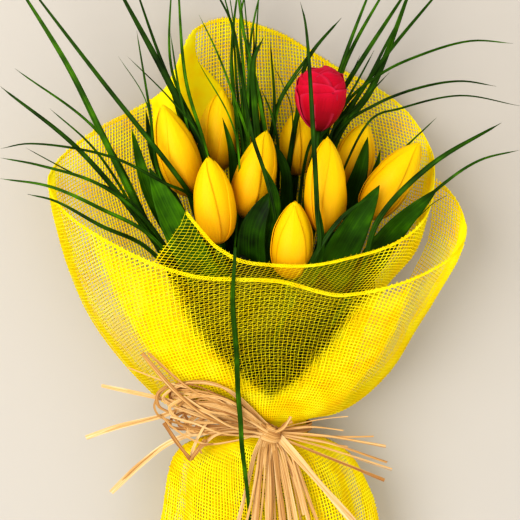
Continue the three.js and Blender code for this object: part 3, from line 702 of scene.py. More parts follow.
# The roll follows the sheet and swells from it by the square root of the sine of the share of its width.
def netRoll():
    y = np.linspace(rollEdges[0][0], rollEdges[-1][0], roll["rows"])[:, None]
    share = np.linspace(0, 1, roll["columns"])[None]
    angle = smoothRows(rollEdges, y) * (1 - share) + smoothRows(rollEdges, y, 2) * share
    points = netAt(windShare(angle), y + 0 * share)
    width = np.linalg.norm(points[:, -1] - points[:, 0], axis=1)[:, None]
    swell = roll["bulge"] * np.minimum(1, width / roll["full"]) * np.sqrt(np.sin(np.pi * share))
    points[..., 2] += roll["lift"] + swell
    return wallOf(patch(points[:, ::-1], share[0], y[:, 0]), roll["wall"])


# A yarn of the folds under the outer layer, by its angles from the front's middle and its places along the
# bunch. Its radius fades to nothing at the folds' edges, where it ends.
def foldYarn(angle, y):
    angle, y = np.broadcast_arrays(np.asarray(angle, float), y)
    u = windShare(360 + angle)
    place = netAt(u, y)
    normal = unit(np.cross(netAt(u + 0.002, y) - place, netAt(u, y + 1) - place))
    past, beyond = foldShares(place[:, 0], place[:, 1])
    share = past * (1 - beyond) * smoothStep((rimAt(u) - 3 - y) / folds["fade"])
    kept = np.flatnonzero(share > folds["least"])
    if len(kept) < 3:
        return []
    run = slice(kept[0], kept[-1] + 1)
    radius = folds["radius"] * np.maximum(share[run], folds["least"])
    return [yarn((place - normal * folds["under"])[run], normal[run], radius)]


# Beside the front wedge the net lies in folds under its outer layer, so a second, closer weave shows there.
def netFolds():
    patches = []
    for angle in np.arange(-folds["wide"], folds["wide"], folds["step"]):
        patches += foldYarn(angle, np.arange(folds["foot"], folds["top"], folds["stepAlong"]))
    for y in np.arange(folds["foot"], folds["top"], folds["pitch"]):
        for side in (-1, 1):
            patches += foldYarn(side * np.linspace(0, folds["wide"], folds["across"]), y)
    return patches


woven = weave()
yarns = netYarns(woven)
netPiece = makePiece("net", yarns, netYellow, ["wrap_net"], smooth=False)
hemPiece = makePiece("net_hem", netHem(woven), netYellow)
rollPiece = makePiece("net_roll", [netRoll()], netYellow)
foldPiece = makePiece("net_folds", netFolds(), netYellow, smooth=False)


tulips = {  # foot and tip of each bloom as seen with heights, and how far it is turned on its stem
    "left": {"foot": [-53, 42, 62], "tip": [-75, 112, 66], "turn": 0.35},
    "back_left": {"foot": [-35, 60, 34], "tip": [-29, 123, 38], "turn": 0.8},
    "front_left": {"foot": [-32, 5, 88], "tip": [-40, 72, 90], "turn": -0.5},
    "centre": {"foot": [-12, 25, 68], "tip": [5, 92, 70], "turn": -0.4},
    "front": {"foot": [23, -22, 95], "tip": [27, 38, 98], "turn": -0.05},
    "centre_right": {"foot": [50, 12, 85], "tip": [52, 87, 84], "turn": 0.55},
    "back": {"foot": [27, 58, 30], "tip": [33, 111, 32], "turn": -0.6},
    "back_right": {"foot": [65, 46, 44], "tip": [82, 98, 46], "turn": 0.3},
    "right": {"foot": [81, 25, 72], "tip": [123, 83, 76], "turn": -0.35},
}
rosePlace = {"foot": [45, 92, 75], "tip": [48, 142, 78], "turn": 0.4, "radius": 18.8}
tulip = {"radius": 16.2, "outerHalf": 44, "innerHalf": 66, "wall": 0.45, "outerTop": 0.965,
         "inner": 0.96, "heart": 0.88,  # the inner petals' and the heart's share of the radius
         "heartTop": 0.985, "keelWidth": 0.16, "ripple": 0.2}
outerPetal = {"lift": 0.18, "flare": 0.05, "p": 2.6, "q": 0.66, "swirl": 0.12, "tuck": 0.03}
innerPetal = {"lift": -0.3, "p": 16.0, "q": 0.5, "swirl": 0.35, "tuck": 0.0}
plainForm = {"q": 0.5, "tuck": 0.0, "keel": 0.0}
# height up a bud, and its radius there, both as shares
bud = [(0, 0.2), (0.04, 0.47), (0.16, 0.84), (0.36, 1), (0.58, 0.93), (0.76, 0.71), (0.9, 0.4), (0.97, 0.17),
       (1, 0.04)]
roseProfile = [(0, 0.2), (0.08, 0.46), (0.25, 0.78), (0.48, 0.98), (0.68, 1), (0.82, 0.9), (0.92, 0.68),
               (0.98, 0.36), (1, 0.03)]


# A bloom's foot, its front and side turned about its axis, the axis itself and its length.
def bloomFrame(place):
    base, tip = seen([place["foot"]])[0], seen([place["tip"]])[0]
    axis = tip - base
    length = float(np.linalg.norm(axis))
    axis = axis / length
    front = unit(up - axis * up.dot(axis))
    side = np.cross(axis, front)
    turn = place["turn"]
    turned = front * math.cos(turn) + side * math.sin(turn)
    return base, turned, np.cross(axis, turned), axis, length


# A petal: at height v its half angle is halfAngle * (1 - v^p)^q about its own middle, and its radius is the
# bud's profile, less a tuck at its edges and plus a keel along its middle. One edge lies over the next petal.
def petal(frameOf, middle, halfAngle, radius, top, lift=0.0, flare=0.0, p=2.3, q=0.72, tone=0.0,
          profile=bud, swirl=0.5, tuck=0.045, keel=0.4, slant=0.0, rows=30, columns=19):
    base, front, side, axis, length = frameOf
    u = np.linspace(-1, 1, columns)
    v = 1 - (1 - np.linspace(0, 1, rows)) ** 1.25
    height = top * v[:, None] + 0 * u[None]
    spreadAt = np.radians(halfAngle) * np.maximum(1 - v**p, 0) ** q + 0.012
    r = radius * smoothRows(profile, np.minimum(height, 1)) + lift * np.clip(v * 6, 0, 1)[:, None]
    r = r + flare * v[:, None] ** 7 - tuck * r * np.abs(u)[None] ** 3 * np.sin(np.pi * v)[:, None]
    r = r + keel * bell(u / tulip["keelWidth"])[None] * (np.clip((v - 0.3) * 1.6, 0, 1) * (1 - v**6))[:, None]
    r = r + swirl * u[None] * (np.clip(v * 8, 0, 1) * np.clip((1 - v) * 5, 0, 1))[:, None]
    ripple = tulip["ripple"] * np.sin(9 * v[:, None] + 2.2 * tone + 3 * u[None])
    r = r + ripple * np.abs(u)[None] ** 2 * (1 - v**4)[:, None]
    angle = middle + spreadAt[:, None] * u[None]
    points = base + r[..., None] * (np.cos(angle)[..., None] * front + np.sin(angle)[..., None] * side)
    slanted = length * height * (1 + slant * u[None] * v[:, None] ** 3)
    return patch(points + slanted[..., None] * axis, u, v, tone)


# Three broad inner petals reach the tip, and three narrower outer ones stand a little short of it.
def tulipBloom(name, place):
    frameOf = bloomFrame(place)
    third = 2 * math.pi / 3
    patches = []
    for k in range(3):
        outerTop = tulip["outerTop"] + rng.uniform(-0.02, 0.02)
        patches.append(petal(frameOf, k * third, tulip["outerHalf"] + rng.uniform(-3, 3), tulip["radius"],
                             outerTop, tone=rng.uniform(0, 9), **outerPetal))
        patches.append(petal(frameOf, (k + 0.5) * third + rng.uniform(-0.05, 0.05), tulip["innerHalf"],
                             tulip["radius"] * tulip["inner"], 1 + rng.uniform(-0.012, 0.012),
                             tone=rng.uniform(0, 9), **innerPetal))
    # a plain heart behind the petals, so that no dark gap shows between their tips
    heart = petal(frameOf, 0.0, 178, tulip["radius"] * tulip["heart"], tulip["heartTop"], p=60,
                  swirl=0.0, **plainForm)
    heart["uv"][:, 0] = 0
    patches.append(heart)
    makePiece(f"tulip_{name}", patches, petalYellow, [f"bloom_{name}"],
              thickness=tulip["wall"])


for name, place in tulips.items():
    tulipBloom(name, place)


# The rosebud's petals wrap each other in a spiral of whorls. The outer ones end lower, so their rolled rims
# cross the bud as lines, and the innermost close the top in a swirl.
rose = {"wall": 0.6, "whorls": (  # petals, first angle, half angle, share of the radius, top, flare, slant
    (2, 0.1, 92, 1.0, 0.67, 0.5, 0.05),
    (3, 1.2, 68, 0.965, 0.84, 0.5, 0.04),
    (3, 0.3, 66, 0.93, 0.93, 0.4, -0.03),
    (2, 1.6, 92, 0.9, 0.965, 0.4, 0.02),
    (2, 0.5, 86, 0.87, 0.985, 0.3, -0.01),
    (1, 0.4, 178, 0.84, 1.0, 0.0, 0.0))}


def roseBloom():
    frameOf = bloomFrame(rosePlace)
    patches = []
    for number, first, halfAngle, share, top, flare, slant in rose["whorls"]:
        for k in range(number):
            shape = petal(frameOf, first + k * 2 * math.pi / number, halfAngle, rosePlace["radius"] * share,
                          top - 0.04 * k + rng.uniform(-0.01, 0.01), flare=flare, p=14, swirl=0.8,
                          tone=rng.uniform(0, 9), slant=slant + rng.uniform(-0.02, 0.02),
                          profile=roseProfile, columns=31, **plainForm)
            # the painted highlight of the pale rim runs round the top as well as up the sides
            shape["uv"][:, 0] = np.maximum(np.abs(shape["uv"][:, 0]), 6 * shape["uv"][:, 1] - 5)
            patches.append(shape)
    makePiece("rose", patches, petalRed, ["rosebud"], thickness=rose["wall"])


roseBloom()
print("blooms are in place")


leaves = {  # where each leaves the stem, its middle and tip as seen, width, roll, and shade
    "left": [(-72, [-85, 44, 62], [-99, 93, 64], 13, 0.3, 0), (-60, [-82, 74, 48], [-88, 108, 50], 9, 0, 0)],
    "back_left": [(-40, [-22, 76, 57], [-29, 102, 60], 8, 0, 0),
                  (-30, [-46, 78, 49], [-47, 96, 50], 7, 0, 0)],
    "front_left": [(-84, [-65, 20, 88], [-85, 63, 90], 26, 0, 0)],
    "centre": [(-70, [-5, 16, 84], [9, 46, 86], 23, -0.2, -0.27), (-50, [11, 38, 86], [2, 66, 90], 11, 0, 0)],
    "front": [],
    "centre_right": [(-84, [68, 12, 97], [92, 50, 97], 31, 0.15, 0),
                     (-70, [47, 6, 105], [42, 46, 105], 6, 0, 0)],
    "back": [(-60, [19, 62, 55], [6, 88, 56], 11, 0, 0)],
    "back_right": [(-50, [74, 52, 61], [83, 87, 63], 18, 0, 0), (-40, [88, 60, 52], [93, 78, 54], 9, 0, 0)],
    "right": [(-84, [103, 17, 83], [137, 48, 92], 25, 0.25, 0)],
}
stem = {"radius": 3.2, "roseRadius": 2.0, "end": -258, "bend": 26, "gap": 0.3, "shade": -0.15, "steps": 60}
leaf = {"wall": 0.5, "cup": 0.28, "knee": 0.45, "rolls": 0.25, "wave": 0.35, "rib": 0.5, "ribWidth": 0.12}
leafOutline = [(0, 0.42), (0.12, 0.62), (0.32, 0.86), (0.52, 1.0), (0.7, 0.9), (0.85, 0.62), (0.95, 0.28),
               (1, 0.02)]


def slopeTo(point):
    reach = float(spread(point[1]))
    return (point[0] - tie[0]) / reach, (point[2] - tie[2]) / reach


def stemTube(place, radius):
    base, _, _, axis, _ = bloomFrame(place)
    slope = slopeTo(base)
    straight = base[1] - stem["bend"]
    rows = [y for y in (stem["end"], -200, -165, tie[1], -110, -75, -35) if y <= straight] + [straight]
    points = np.vstack([onSlope(slope, rows), base - axis * 10, base - axis * stem["gap"]])
    route, length = routeThrough(points, stem["steps"])
    return sweep(route, sectionOf(12), radius, radius, length, tone=stem["shade"]), slope


# Grid across a middle line, by half widths along it, shares of them across and a lift. Its uv is in mm.
def leafGrid(route, side, top, half, share, lift, along, tone):
    across = half[:, None] * share[None]
    points = route[:, None] + side[:, None] * across[..., None] + top[:, None] * lift[..., None]
    shape = patch(points, share, along, tone)
    shape["uv"][:, 0] = across.ravel()
    return shape


# A leaf: its middle line runs from the stem through via to the tip, its half width follows the outline, and
# it is cupped across by the square of the share of its half width.
def leafBlade(slope, start, via, tip, width, roll, tone, rows=44, columns=13):
    middle = seen([via])[0]
    start = onSlope(slope, start)
    knee = start + (middle - start) * leaf["knee"]
    route, length = routeThrough([start, knee, middle, seen([tip])[0]], rows)
    t = np.linspace(0, 1, rows)
    forward = headingOf(route)
    roll = roll + leaf["rolls"] * np.sin(2.2 * t + tone * 9)
    flat = unit(np.cross(np.broadcast_to(up, route.shape), forward))
    raised = np.cross(forward, flat)
    side = flat * np.cos(roll)[:, None] + raised * np.sin(roll)[:, None]
    half = width / 2 * smoothRows(leafOutline, t)
    s = np.linspace(-1, 1, columns)
    wave = leaf["wave"] * np.sin(7 * t[:, None] + 4 * tone + 1.5 * s[None]) * np.abs(s)[None] ** 2
    rib = leaf["rib"] * bell(s / leaf["ribWidth"])[None] * np.sin(np.pi * t)[:, None]
    lift = leaf["cup"] * half[:, None] * s[None] ** 2 + wave - rib
    return leafGrid(route, side, np.cross(forward, side), half, s, lift, t * length, tone)


# Lower leaves that clasp the stems inside the wrap, broad and painted dark as shade, set behind the front net
# to darken it: tip and width of each.
innerLeaves = {
    "left": ([-66, 14, 84], 38), "back_left": ([-58, 26, 70], 40), "front_left": ([-44, -14, 93], 44),
    "centre": ([-14, 2, 88], 46), "front": ([6, -34, 94], 44), "centre_right": ([42, -6, 92], 46),
    "back": ([22, 12, 66], 46), "back_right": ([66, 10, 78], 42), "right": ([82, 0, 84], 40),
}


# tone: painted shade, darkening these leaves as if they lay in the wrap's shadow
innerForm = {"foot": -126, "arch": 3, "cup": 0.12, "tone": -0.5, "rows": 30, "columns": 9,
             "outline": [(0, 0.18), (0.25, 0.6), (0.6, 1), (0.85, 0.8), (1, 0.04)]}


# An inner leaf: it arches from its foot to its tip, and its sides fall by the square of the share across.
def innerLeaf(slope, tip, width):
    foot, tip = onSlope(slope, innerForm["foot"]), np.array(tip, float)
    bent = [foot + (tip - foot) * share + up * innerForm["arch"] for share in (0.35, 0.7)]
    route, length = routeThrough([foot, *bent, tip], innerForm["rows"])
    t = np.linspace(0, 1, innerForm["rows"])
    top = np.broadcast_to(up, route.shape)
    side = unit(np.cross(top, headingOf(route)))
    half = width / 2 * smoothRows(innerForm["outline"], t)
    s = np.linspace(-1, 1, innerForm["columns"])
    lift = -innerForm["cup"] * half[:, None] * s[None] ** 2
    return leafGrid(route, side, top, half, s, lift, t * length, innerForm["tone"])


for name, place in tulips.items():
    tube, slope = stemTube(place, stem["radius"])
    patches = [tube]
    for *form, shade in leaves[name]:
        tone = rng.uniform(-0.1, 0.14) + shade
        patches.append(wallOf(leafBlade(slope, *form, tone=tone), leaf["wall"]))
    patches.append(wallOf(innerLeaf(slope, *innerLeaves[name]), leaf["wall"]))
    makePiece(f"stalk_{name}", patches, leafGreen, [f"stem_{name}"])
makePiece("stalk_rosebud", [stemTube(rosePlace, stem["roseRadius"])[0]], leafGreen, ["stem_rosebud"])
print("stems and leaves are in place")


grassBundles = {  # slope of each bundle from the tie, then its blades: places as seen, and width
    "left_fan": ([-0.491, 0.13], [
        ([[-77, 0, 72], [-123, 92, 80], [-148, 142, 82], [-179, 192, 80]], 4),
        ([[-78, 2, 76], [-139, 77, 86], [-200, 126, 80]], 3.5),
        ([[-77, 4, 68], [-123, 89, 74], [-189, 140, 74]], 2),
        ([[-84, 10, 70], [-127, 77, 72], [-162, 109, 72]], 1.8),
        ([[-85, 19, 84], [-123, 50, 96], [-169, 65, 98], [-200, 71, 92]], 2.2),
        ([[-81, 8, 88], [-123, 32, 106], [-162, 49, 104], [-200, 55, 96]], 2.4),
        ([[-85, 0, 92], [-123, 19, 114], [-158, 38, 108], [-179, 43, 100]], 2.6)]),
    "left_front": ([-0.062, 0.315], [
        ([[-39, 10, 65], [-51, 38, 73], [-66, 60, 84], [-119, 127, 86], [-169, 192, 84]], 3),
        ([[-39, 14, 65], [-54, 42, 79], [-72, 51, 95], [-115, 72, 98], [-177, 82, 94], [-200, 78, 88]], 2)]),
    "upper_left": ([-0.366, -0.095], [
        ([[-40, 68, 61], [-69, 127, 66], [-104, 192, 68]], 4.5),
        ([[-41, 70, 57], [-73, 139, 54], [-92, 192, 52]], 2.5),
        ([[-41, 74, 64], [-57, 131, 72], [-62, 192, 74]], 2.4),
        ([[-42, 76, 60], [-68, 139, 60], [-68, 192, 58]], 2)]),
    "centre": ([-0.03, -0.16], [
        ([[-12, 70, 40], [-18, 130, 44], [-21, 168, 46], [-27, 192, 46]], 1.8),
        ([[-10, 70, 42], [-15, 123, 48], [-19, 165, 50], [-23, 192, 50]], 1.2),
        ([[-8, 70, 36], [-8, 123, 38], [-15, 192, 38]], 1.4),
        ([[-2, 70, 42], [-6, 123, 46], [-12, 192, 48]], 1.4),
        ([[0, 70, 38], [-4, 131, 44], [-1, 192, 44]], 1.4),
        ([[0, 70, 58], [-4, 112, 60], [-5, 146, 62], [3, 164, 62]], 5),
        ([[5, 70, 42], [11, 108, 50], [8, 161, 52]], 2.4),
        ([[8, 84, 44], [15, 115, 48], [38, 150, 50], [63, 179, 52]], 2.4)]),
    "right_back": ([0.254, -0.174], [
        ([[50, 92, 42], [62, 139, 46], [82, 192, 48]], 3),
        ([[52, 92, 38], [65, 142, 40], [92, 192, 42]], 3),
        ([[50, 98, 44], [68, 130, 48], [108, 192, 50]], 3.4),
        ([[60, 88, 55], [85, 123, 58], [112, 192, 60]], 4.5),
        ([[62, 92, 56], [89, 139, 62], [132, 192, 62]], 3),
        ([[62, 106, 54], [92, 135, 66], [123, 150, 70], [162, 161, 70], [195, 159, 64]], 2),
        ([[60, 90, 58], [89, 112, 68], [123, 125, 72], [154, 130, 72], [182, 126, 66]], 2)]),
    "right": ([0.475, -0.075], [
        ([[90, 45, 54], [104, 70, 60], [136, 102, 66]], 1.8),
        ([[100, 10, 64], [139, 49, 80], [169, 69, 84], [200, 77, 82]], 2.2)]),
    "right_front": ([0.418, 0.353], [
        ([[76, -24, 90], [91, 23, 98], [131, 65, 100], [186, 98, 100]], 3.6)]),
    "front": ([-0.015, 0.455], [
        ([[20, -48, 99], [45, 0, 108], [44, 30, 110], [41, 90, 108], [35, 175, 104], [31, 191, 103]], 3),
        ([[22, -46, 99], [46, 2, 108], [65, 27, 109], [86, 42, 107]], 3.4)]),
}
# Thin blades too fine for the solids, bundle by bundle: places as seen with heights, and width.
fineBlades = {
    "upper_left": [
        ([[-78, 60, 62], [-88, 115, 66], [-109, 149, 68]], 1.2),
        ([[-46, 85, 84], [-68, 115, 84], [-102, 149, 84]], 1.6),
        ([[-77, 54, 60], [-85, 108, 62], [-95, 169, 60]], 2.4),
        ([[-50, 78, 54], [-56, 96, 52], [-64, 113, 52], [-71, 135, 50]], 6.0),
        ([[-57, 85, 50], [-65, 115, 50], [-75, 146, 48]], 5.0),
        ([[-57, 100, 66], [-62, 122, 66], [-69, 167, 64]], 2.4)],
    "centre": [
        ([[-8, 80, 60], [-19, 115, 64], [-33, 152, 64], [-47, 181, 60]], 2.2),
        ([[12, 20, 90], [4, 58, 94], [-5, 85, 92], [-11, 113, 84], [-16, 146, 76], [-22, 175, 70],
          [-31, 192, 66]], 3.0),
        ([[-16, 70, 44], [-19, 108, 46], [-22, 136, 46], [-21.5, 160, 46], [-19.5, 181, 46],
          [-18, 192, 46]], 2.8),
        ([[4, 91, 56], [1, 108, 58], [-3, 129, 60], [-8, 150, 60], [-13, 170, 58], [-16, 192, 58]], 3.2),
        ([[-10, 80, 44], [-11, 115, 46], [-13, 143, 48], [-15, 179, 48], [-12, 192, 46]], 2.8),
        ([[-9, 90, 48], [-9, 125, 50], [-8, 152, 50], [-5, 175, 50], [-1, 192, 50]], 2.4),
        ([[-5, 90, 42], [-8, 139, 42], [-5, 152, 42], [-5, 175, 42]], 2.6),
        ([[-14, 86, 50], [-19, 113, 50], [-21, 139, 50], [-22, 157, 50]], 3.0),
        ([[-20, 70, 34], [-20, 110, 34], [-21, 132, 34]], 6.0),
        ([[-12, 70, 33], [-13, 110, 33], [-13, 136, 33]], 6.0),
        ([[-4, 70, 32], [-5, 110, 32], [-6, 132, 32]], 6.0),
        ([[2, 70, 34], [2, 100, 34], [0, 124, 34]], 6.0),
        ([[14, 78, 52], [9, 104, 56], [1, 124, 56]], 2.8),
        ([[25, 104, 52], [19, 124, 52], [10, 143, 52]], 1.2),
        ([[10, 80, 50], [15, 112, 54], [26, 131, 56], [37, 145, 56]], 2.0),
        ([[24, 78, 48], [31, 117, 56], [35, 143, 60], [42, 155, 62], [63, 179, 62]], 4.4)],
    "left_fan": [
        ([[-18, 85, 80], [-48, 146, 80]], 1.6),
        ([[-100, 38, 95], [-142, 58, 92], [-181, 79, 84]], 1.5),
        ([[-80, 6, 66], [-108, 66, 72], [-131, 100, 72]], 2.4)],
    "right_back": [
        ([[85, 100, 74], [108, 109, 76], [154, 119, 76], [200, 111, 70]], 1.8),
        ([[42, 78, 56], [54, 96, 60], [71, 123, 60], [88, 154, 60]], 2.8),
        ([[37, 78, 52], [50, 100, 54], [65, 123, 56], [77, 150, 56]], 2.6),
        ([[56, 92, 58], [77, 113, 62], [100, 137, 62]], 2.2),
        ([[60, 96, 50], [80, 125, 52], [98, 160, 52], [112, 186, 52]], 3.4)],
    "right": [
        ([[132, 35, 84], [144, 42, 86]], 1.2)],
}
grass = {"end": -236, "parts": -92, "fuller": 1.25, "past": 20, "edge": 191.5, "thick": 0.9, "steps": 90,
         "twist": 0.35, "apart": 1.3}
bladeSection = [(1, 0.35), (0.45, 0.05), (0, -0.15), (-0.45, 0.05), (-1, 0.35), (0, -0.75)]


# A blade's width: quick to fill out, then drawn to a long point.
def bladeWidth(width, t):
    return width * np.minimum(1, 0.55 + 2.5 * t) * (1 - 0.75 * t**6) * np.clip((1 - t) * 30, 0.1, 1)


def grassBlade(slope, through, width, index, tone):
    aside = np.array([math.cos(2.4 * index), 0.0, math.sin(2.4 * index)])
    low = onSlope(slope, [grass["end"] + 6 * rng.uniform(-1, 1), -190, -160, tie[1], -115])
    low = low + aside * grass["apart"]
    root = onSlope(slope, [grass["parts"] - 14, grass["parts"] + 4]) + aside[None] * np.array([[0.9], [1.7]])
    places = seen(through)
    if through[-1][1] > grass["edge"]:  # the picture's edge cuts this blade, so its tip lies past it
        places[-1] += unit(places[-1] - places[-2]) * grass["past"]
    first = np.vstack([low, root])
    route, length = routeThrough(np.vstack([first, places]), grass["steps"])
    share = lengthAlong(first)[-1] / length
    t = np.clip((np.linspace(0, 1, grass["steps"]) - share) / (1 - share), 0, 1)
    half = bladeWidth(width, t) / 2
    twist = grass["twist"] * np.sin(5 * t + index) * t
    thickness = np.minimum(grass["thick"], 0.4 + half * 0.5)
    return sweep(route, bladeSection, half, thickness, length, twist=twist, tone=tone)


for name, (slope, blades) in grassBundles.items():
    patches = [grassBlade(slope, through, width * grass["fuller"], index, rng.uniform(-0.2, 0.14))
               for index, (through, width) in enumerate(blades)]
    patches += [grassBlade(slope, through, width, index + 9, rng.uniform(-0.25, 0.25))
                for index, (through, width) in enumerate(fineBlades.get(name, []))]
    makePiece(f"blades_{name}", patches, grassGreen, [f"grass_{name}"])


# Route through places as seen, raised along the sight line where it would come too near the wrap's front.
def overFront(points, clear, count):
    flat, _ = routeThrough(points, count)
    place = seen(flat)
    for _ in range(3):
        flat[:, 2] = np.maximum(flat[:, 2], frontHeight(place[:, 0], place[:, 1]) + clear)
        place = seen(flat)
    return routeThrough(place[::3], count)


hanging = {
    "points": [[-19, 2, 136], [-20, -16, 139], [-21, -40, 133], [-18, -80, 118], [-17, -108, 110],
               [-15, -132, 106], [-14, -150, 104], [-11, -175, 97], [-8, -208, 92], [-8, -222, 92]],
    "width": 3.8, "clear": 2.2, "steps": 91,
}
hangRoute, hangLength = overFront(hanging["points"], hanging["clear"], hanging["steps"])
hangHalf = bladeWidth(hanging["width"], np.linspace(0, 1, hanging["steps"])) / 2
hangBlade = sweep(hangRoute, bladeSection, hangHalf, grass["thick"], hangLength)
makePiece("blade_hanging", [hangBlade], grassGreen, ["grass_hanging"])
print("grass is in place")


loops = [  # of the bow: places as seen with heights, and width
    ([[8, -137, 88], [-26, -107, 104], [-56, -103, 104], [-75, -114, 98], [-48, -127, 94],
      [2, -138, 88]], 2.6),
    ([[8, -139, 90], [-35, -103, 100], [-73, -107, 100], [-81, -124, 92], [-54, -136, 88],
      [2, -142, 86]], 2.2),
    ([[6, -138, 92], [-20, -118, 98], [-54, -114, 99], [-66, -129, 92], [-40, -141, 88], [4, -141, 88]], 2),
    ([[4, -141, 86], [-35, -128, 93], [-53, -160, 84], [-33, -142, 90], [4, -140, 90]], 2.4),
]
strands = [
    ([[6, -140, 86], [-36, -131, 96], [-62, -112, 102], [-92, -78, 104]], 3.6),
    ([[6, -137, 90], [-22, -123, 102], [-55, -106, 105], [-87, -78, 104]], 1.8),
    ([[6, -138, 88], [-70, -116, 94], [-124, -104, 82]], 3.4),
    ([[6, -140, 86], [-52, -122, 90], [-80, -129, 88], [-109, -136, 80], [-136, -145, 70]], 4.2),
    ([[6, -141, 84], [-41, -139, 86], [-69, -148, 80], [-92, -165, 70], [-116, -188, 56]], 5),
    ([[12, -139, 86], [38, -136, 90], [65, -139, 88]], 1.2),
    ([[12, -140, 86], [50, -143, 90], [98, -151, 84]], 1.8),
    ([[12, -141, 86], [50, -148, 90], [99, -164, 86]], 1.5),
    ([[12, -142, 86], [50, -152, 92], [103, -169, 90]], 1.3),
    ([[10, -142, 86], [48, -158, 92], [97, -178, 90]], 2.4),
    ([[6, -143, 84], [0, -175, 88], [-5, -222, 90]], 3),
    ([[8, -143, 84], [6, -175, 90], [6, -230, 92]], 4),
    ([[9, -143, 86], [13, -175, 92], [17, -226, 94]], 3),
    ([[9, -143, 84], [18, -175, 88], [26, -232, 92]], 4),
    ([[10, -142, 86], [24, -170, 90], [34, -205, 92]], 2.6),
    ([[11, -142, 84], [28, -175, 88], [41, -224, 92]], 3.4),
    ([[12, -141, 88], [42, -175, 92], [76, -214, 92]], 4.2),
]
bow = {"radius": 33.9, "width": 4.5, "turns": 6, "girth": 215.0, "knot": [7, -140], "thick": 0.2,
       "bound": 0.2 * 1.8,  # thickness of the strands in the band and the knot
       "broad": 1.55,  # the last strand is cut this much broader
       "wide": 4.1, "cream": 3.5, "tones": (-2, 3),  # strands wider than this are cream, the others vary
       "split": 0.35,  # share of a strand's width that has split off beside it
       "clear": 6.5, "fibre": 3.6,  # how far accents, and fibres that have split off, lie above the wrap
       "heap": (3, 0.1), "tailHeap": (2.2, 0.8)}  # how far the other strands do: the lowest one, and a step
# Flat strand, a little folded along its length, as (across, up).
strandSection = [(1, 0.2), (0.55, 0.9), (0.1, 0.5), (-0.45, 1.0), (-1, 0.3), (-0.9, -0.6), (-0.3, -0.3),
                 (0.4, -0.9), (0.9, -0.6)]
# Further loops of the bow: reach, lean and side bulge of each from the knot, opening, and width.
bowLoops = {"count": 26, "reach": (52, 84), "lean": (155, 178), "opening": (2, 9), "bend": (-4, 4),
            "bulge": (1, 10), "width": (0.8, 2.6), "heap": (2.4, 0.3)}
bowTails = {"count": 17, "lean": (-101, -70), "reach": (66, 92), "spread": 10, "width": (1.4, 3.8)}
bowEnds = {"count": 5, "lean": (-22, 6), "reach": (26, 80), "spread": 3, "width": (0.8, 1.6)}
# A few strands that stand out: places as seen with heights, width, and tone from brown to cream.
bowAccents = [
    ([[-74, -133, 96], [-64, -148, 92], [-53, -162, 88]], 3.2, -2.0),
    ([[-42, -146, 90], [-48, -154, 90], [-53.5, -162, 89]], 3.2, -1.0),
    ([[14, -140, 92], [20, -134, 95], [25, -132, 96]], 3.0, -1.0),
    ([[10, -141, 92], [18, -137, 96], [24, -128, 96]], 2.2, 0.5),
    ([[-72, -105, 102], [-79, -111, 101], [-78, -120, 99], [-70, -125, 97]], 2.6, -1.0),
    ([[4, -138, 92], [-24, -120, 98], [-48, -112, 100], [-70, -122, 98], [-60, -131, 96], [-20, -133, 93]],
     2.4, 1.5),
    ([[6, -140, 90], [-20, -147, 90], [-44, -149, 92], [-68, -136, 96], [-76, -127, 98]], 1.6, 0.5),
    ([[-36, -149, 92], [-46, -152, 93], [-45, -157, 92]], 1.4, -2.0),
    ([[-40, -110, 103], [-63, -104.5, 103], [-74, -101, 102], [-103, -90, 98]], 1.2, 0.5),
    ([[6, -140, 94], [-16, -128, 98], [-40, -124, 99], [-60, -112, 101]], 2.0, 2.0),
    ([[2, -142, 94], [-22, -136, 97], [-44, -124, 99], [-58, -121, 99]], 1.6, 2.5),
    ([[0, -144, 93], [-30, -141, 95], [-52, -133, 97], [-70, -128, 98]], 1.4, 3.0),
]


# A strand laid over the wrap's front, clear of it by its place in the heap, turning over slowly as it goes.
def strandOver(points, width, clear, tone, taper=0.15, count=71):
    route, length = overFront(points, clear, count)
    t = np.linspace(0, 1, count)
    half = width / 2 * (1 - taper * t) * (1 + 0.1 * np.sin(11 * t + 5 * tone))
    turn = rng.uniform(0.1, 0.5) * np.sin(rng.uniform(3, 6) * t + 7 * tone)
    thickness = bow["thick"] * rng.uniform(0.8, 1.5)
    return sweep(route, strandSection, half, thickness, length, twist=turn, tone=tone)


# Places by their lengths along and across a lean from the knot, moved a little.
def fromKnot(along, across, lean, right, ahead, height):
    a = math.radians(lean)
    return np.stack([bow["knot"][0] + along * math.cos(a) - across * math.sin(a) + right,
                     bow["knot"][1] + along * math.sin(a) + across * math.cos(a) + ahead, height], -1)


# A loop: out from the knot and back, as sin(pi t) along its lean and sin(2 pi t) across it, with a bulge.
def loopPoints(reach, lean, opening, bend, bulge):
    t = np.linspace(0.02, 0.98, 15)
    out = np.sin(np.pi * t)
    along = reach * out**0.85
    across = opening * np.sin(2 * np.pi * t) + bend * out**2 - 4 * bulge * out * (1 - out)
    base = rng.uniform(-3, 3) * (1 - out)
    return fromKnot(along, across, lean, base, base, 88 + 0 * t)


# A tail or end: from beside the knot along its lean, with a slow bend.
def tailPoints(reach, lean, bend, aside):
    t = np.linspace(0, 1, 6)
    across = bend * np.sin(2.4 * t) - aside * np.sin(np.pi / 2 * np.minimum(1, 0.5 + 3 * t))
    return fromKnot(reach * t, across, lean, 3, -2, 86 + 3 * t)


# A strand of the band: a circle round the tie, tilted a little, its flat side outward.
def bandStrand(offset, radius, tilt, width, tone):
    angle = np.linspace(0, 2 * math.pi, 73)
    height = tie[2] + radius * np.cos(angle)
    along = tie[1] + offset + tilt * np.sin(angle + offset) + lean(tie[1], height)
    route = np.stack([tie[0] + radius * np.sin(angle), along, height], -1)
    facing = unit(np.stack([np.sin(angle), 0 * angle, np.cos(angle)], -1))
    return sweep(route, strandSection, width / 2, bow["bound"], bow["girth"], facing=facing, tone=tone)


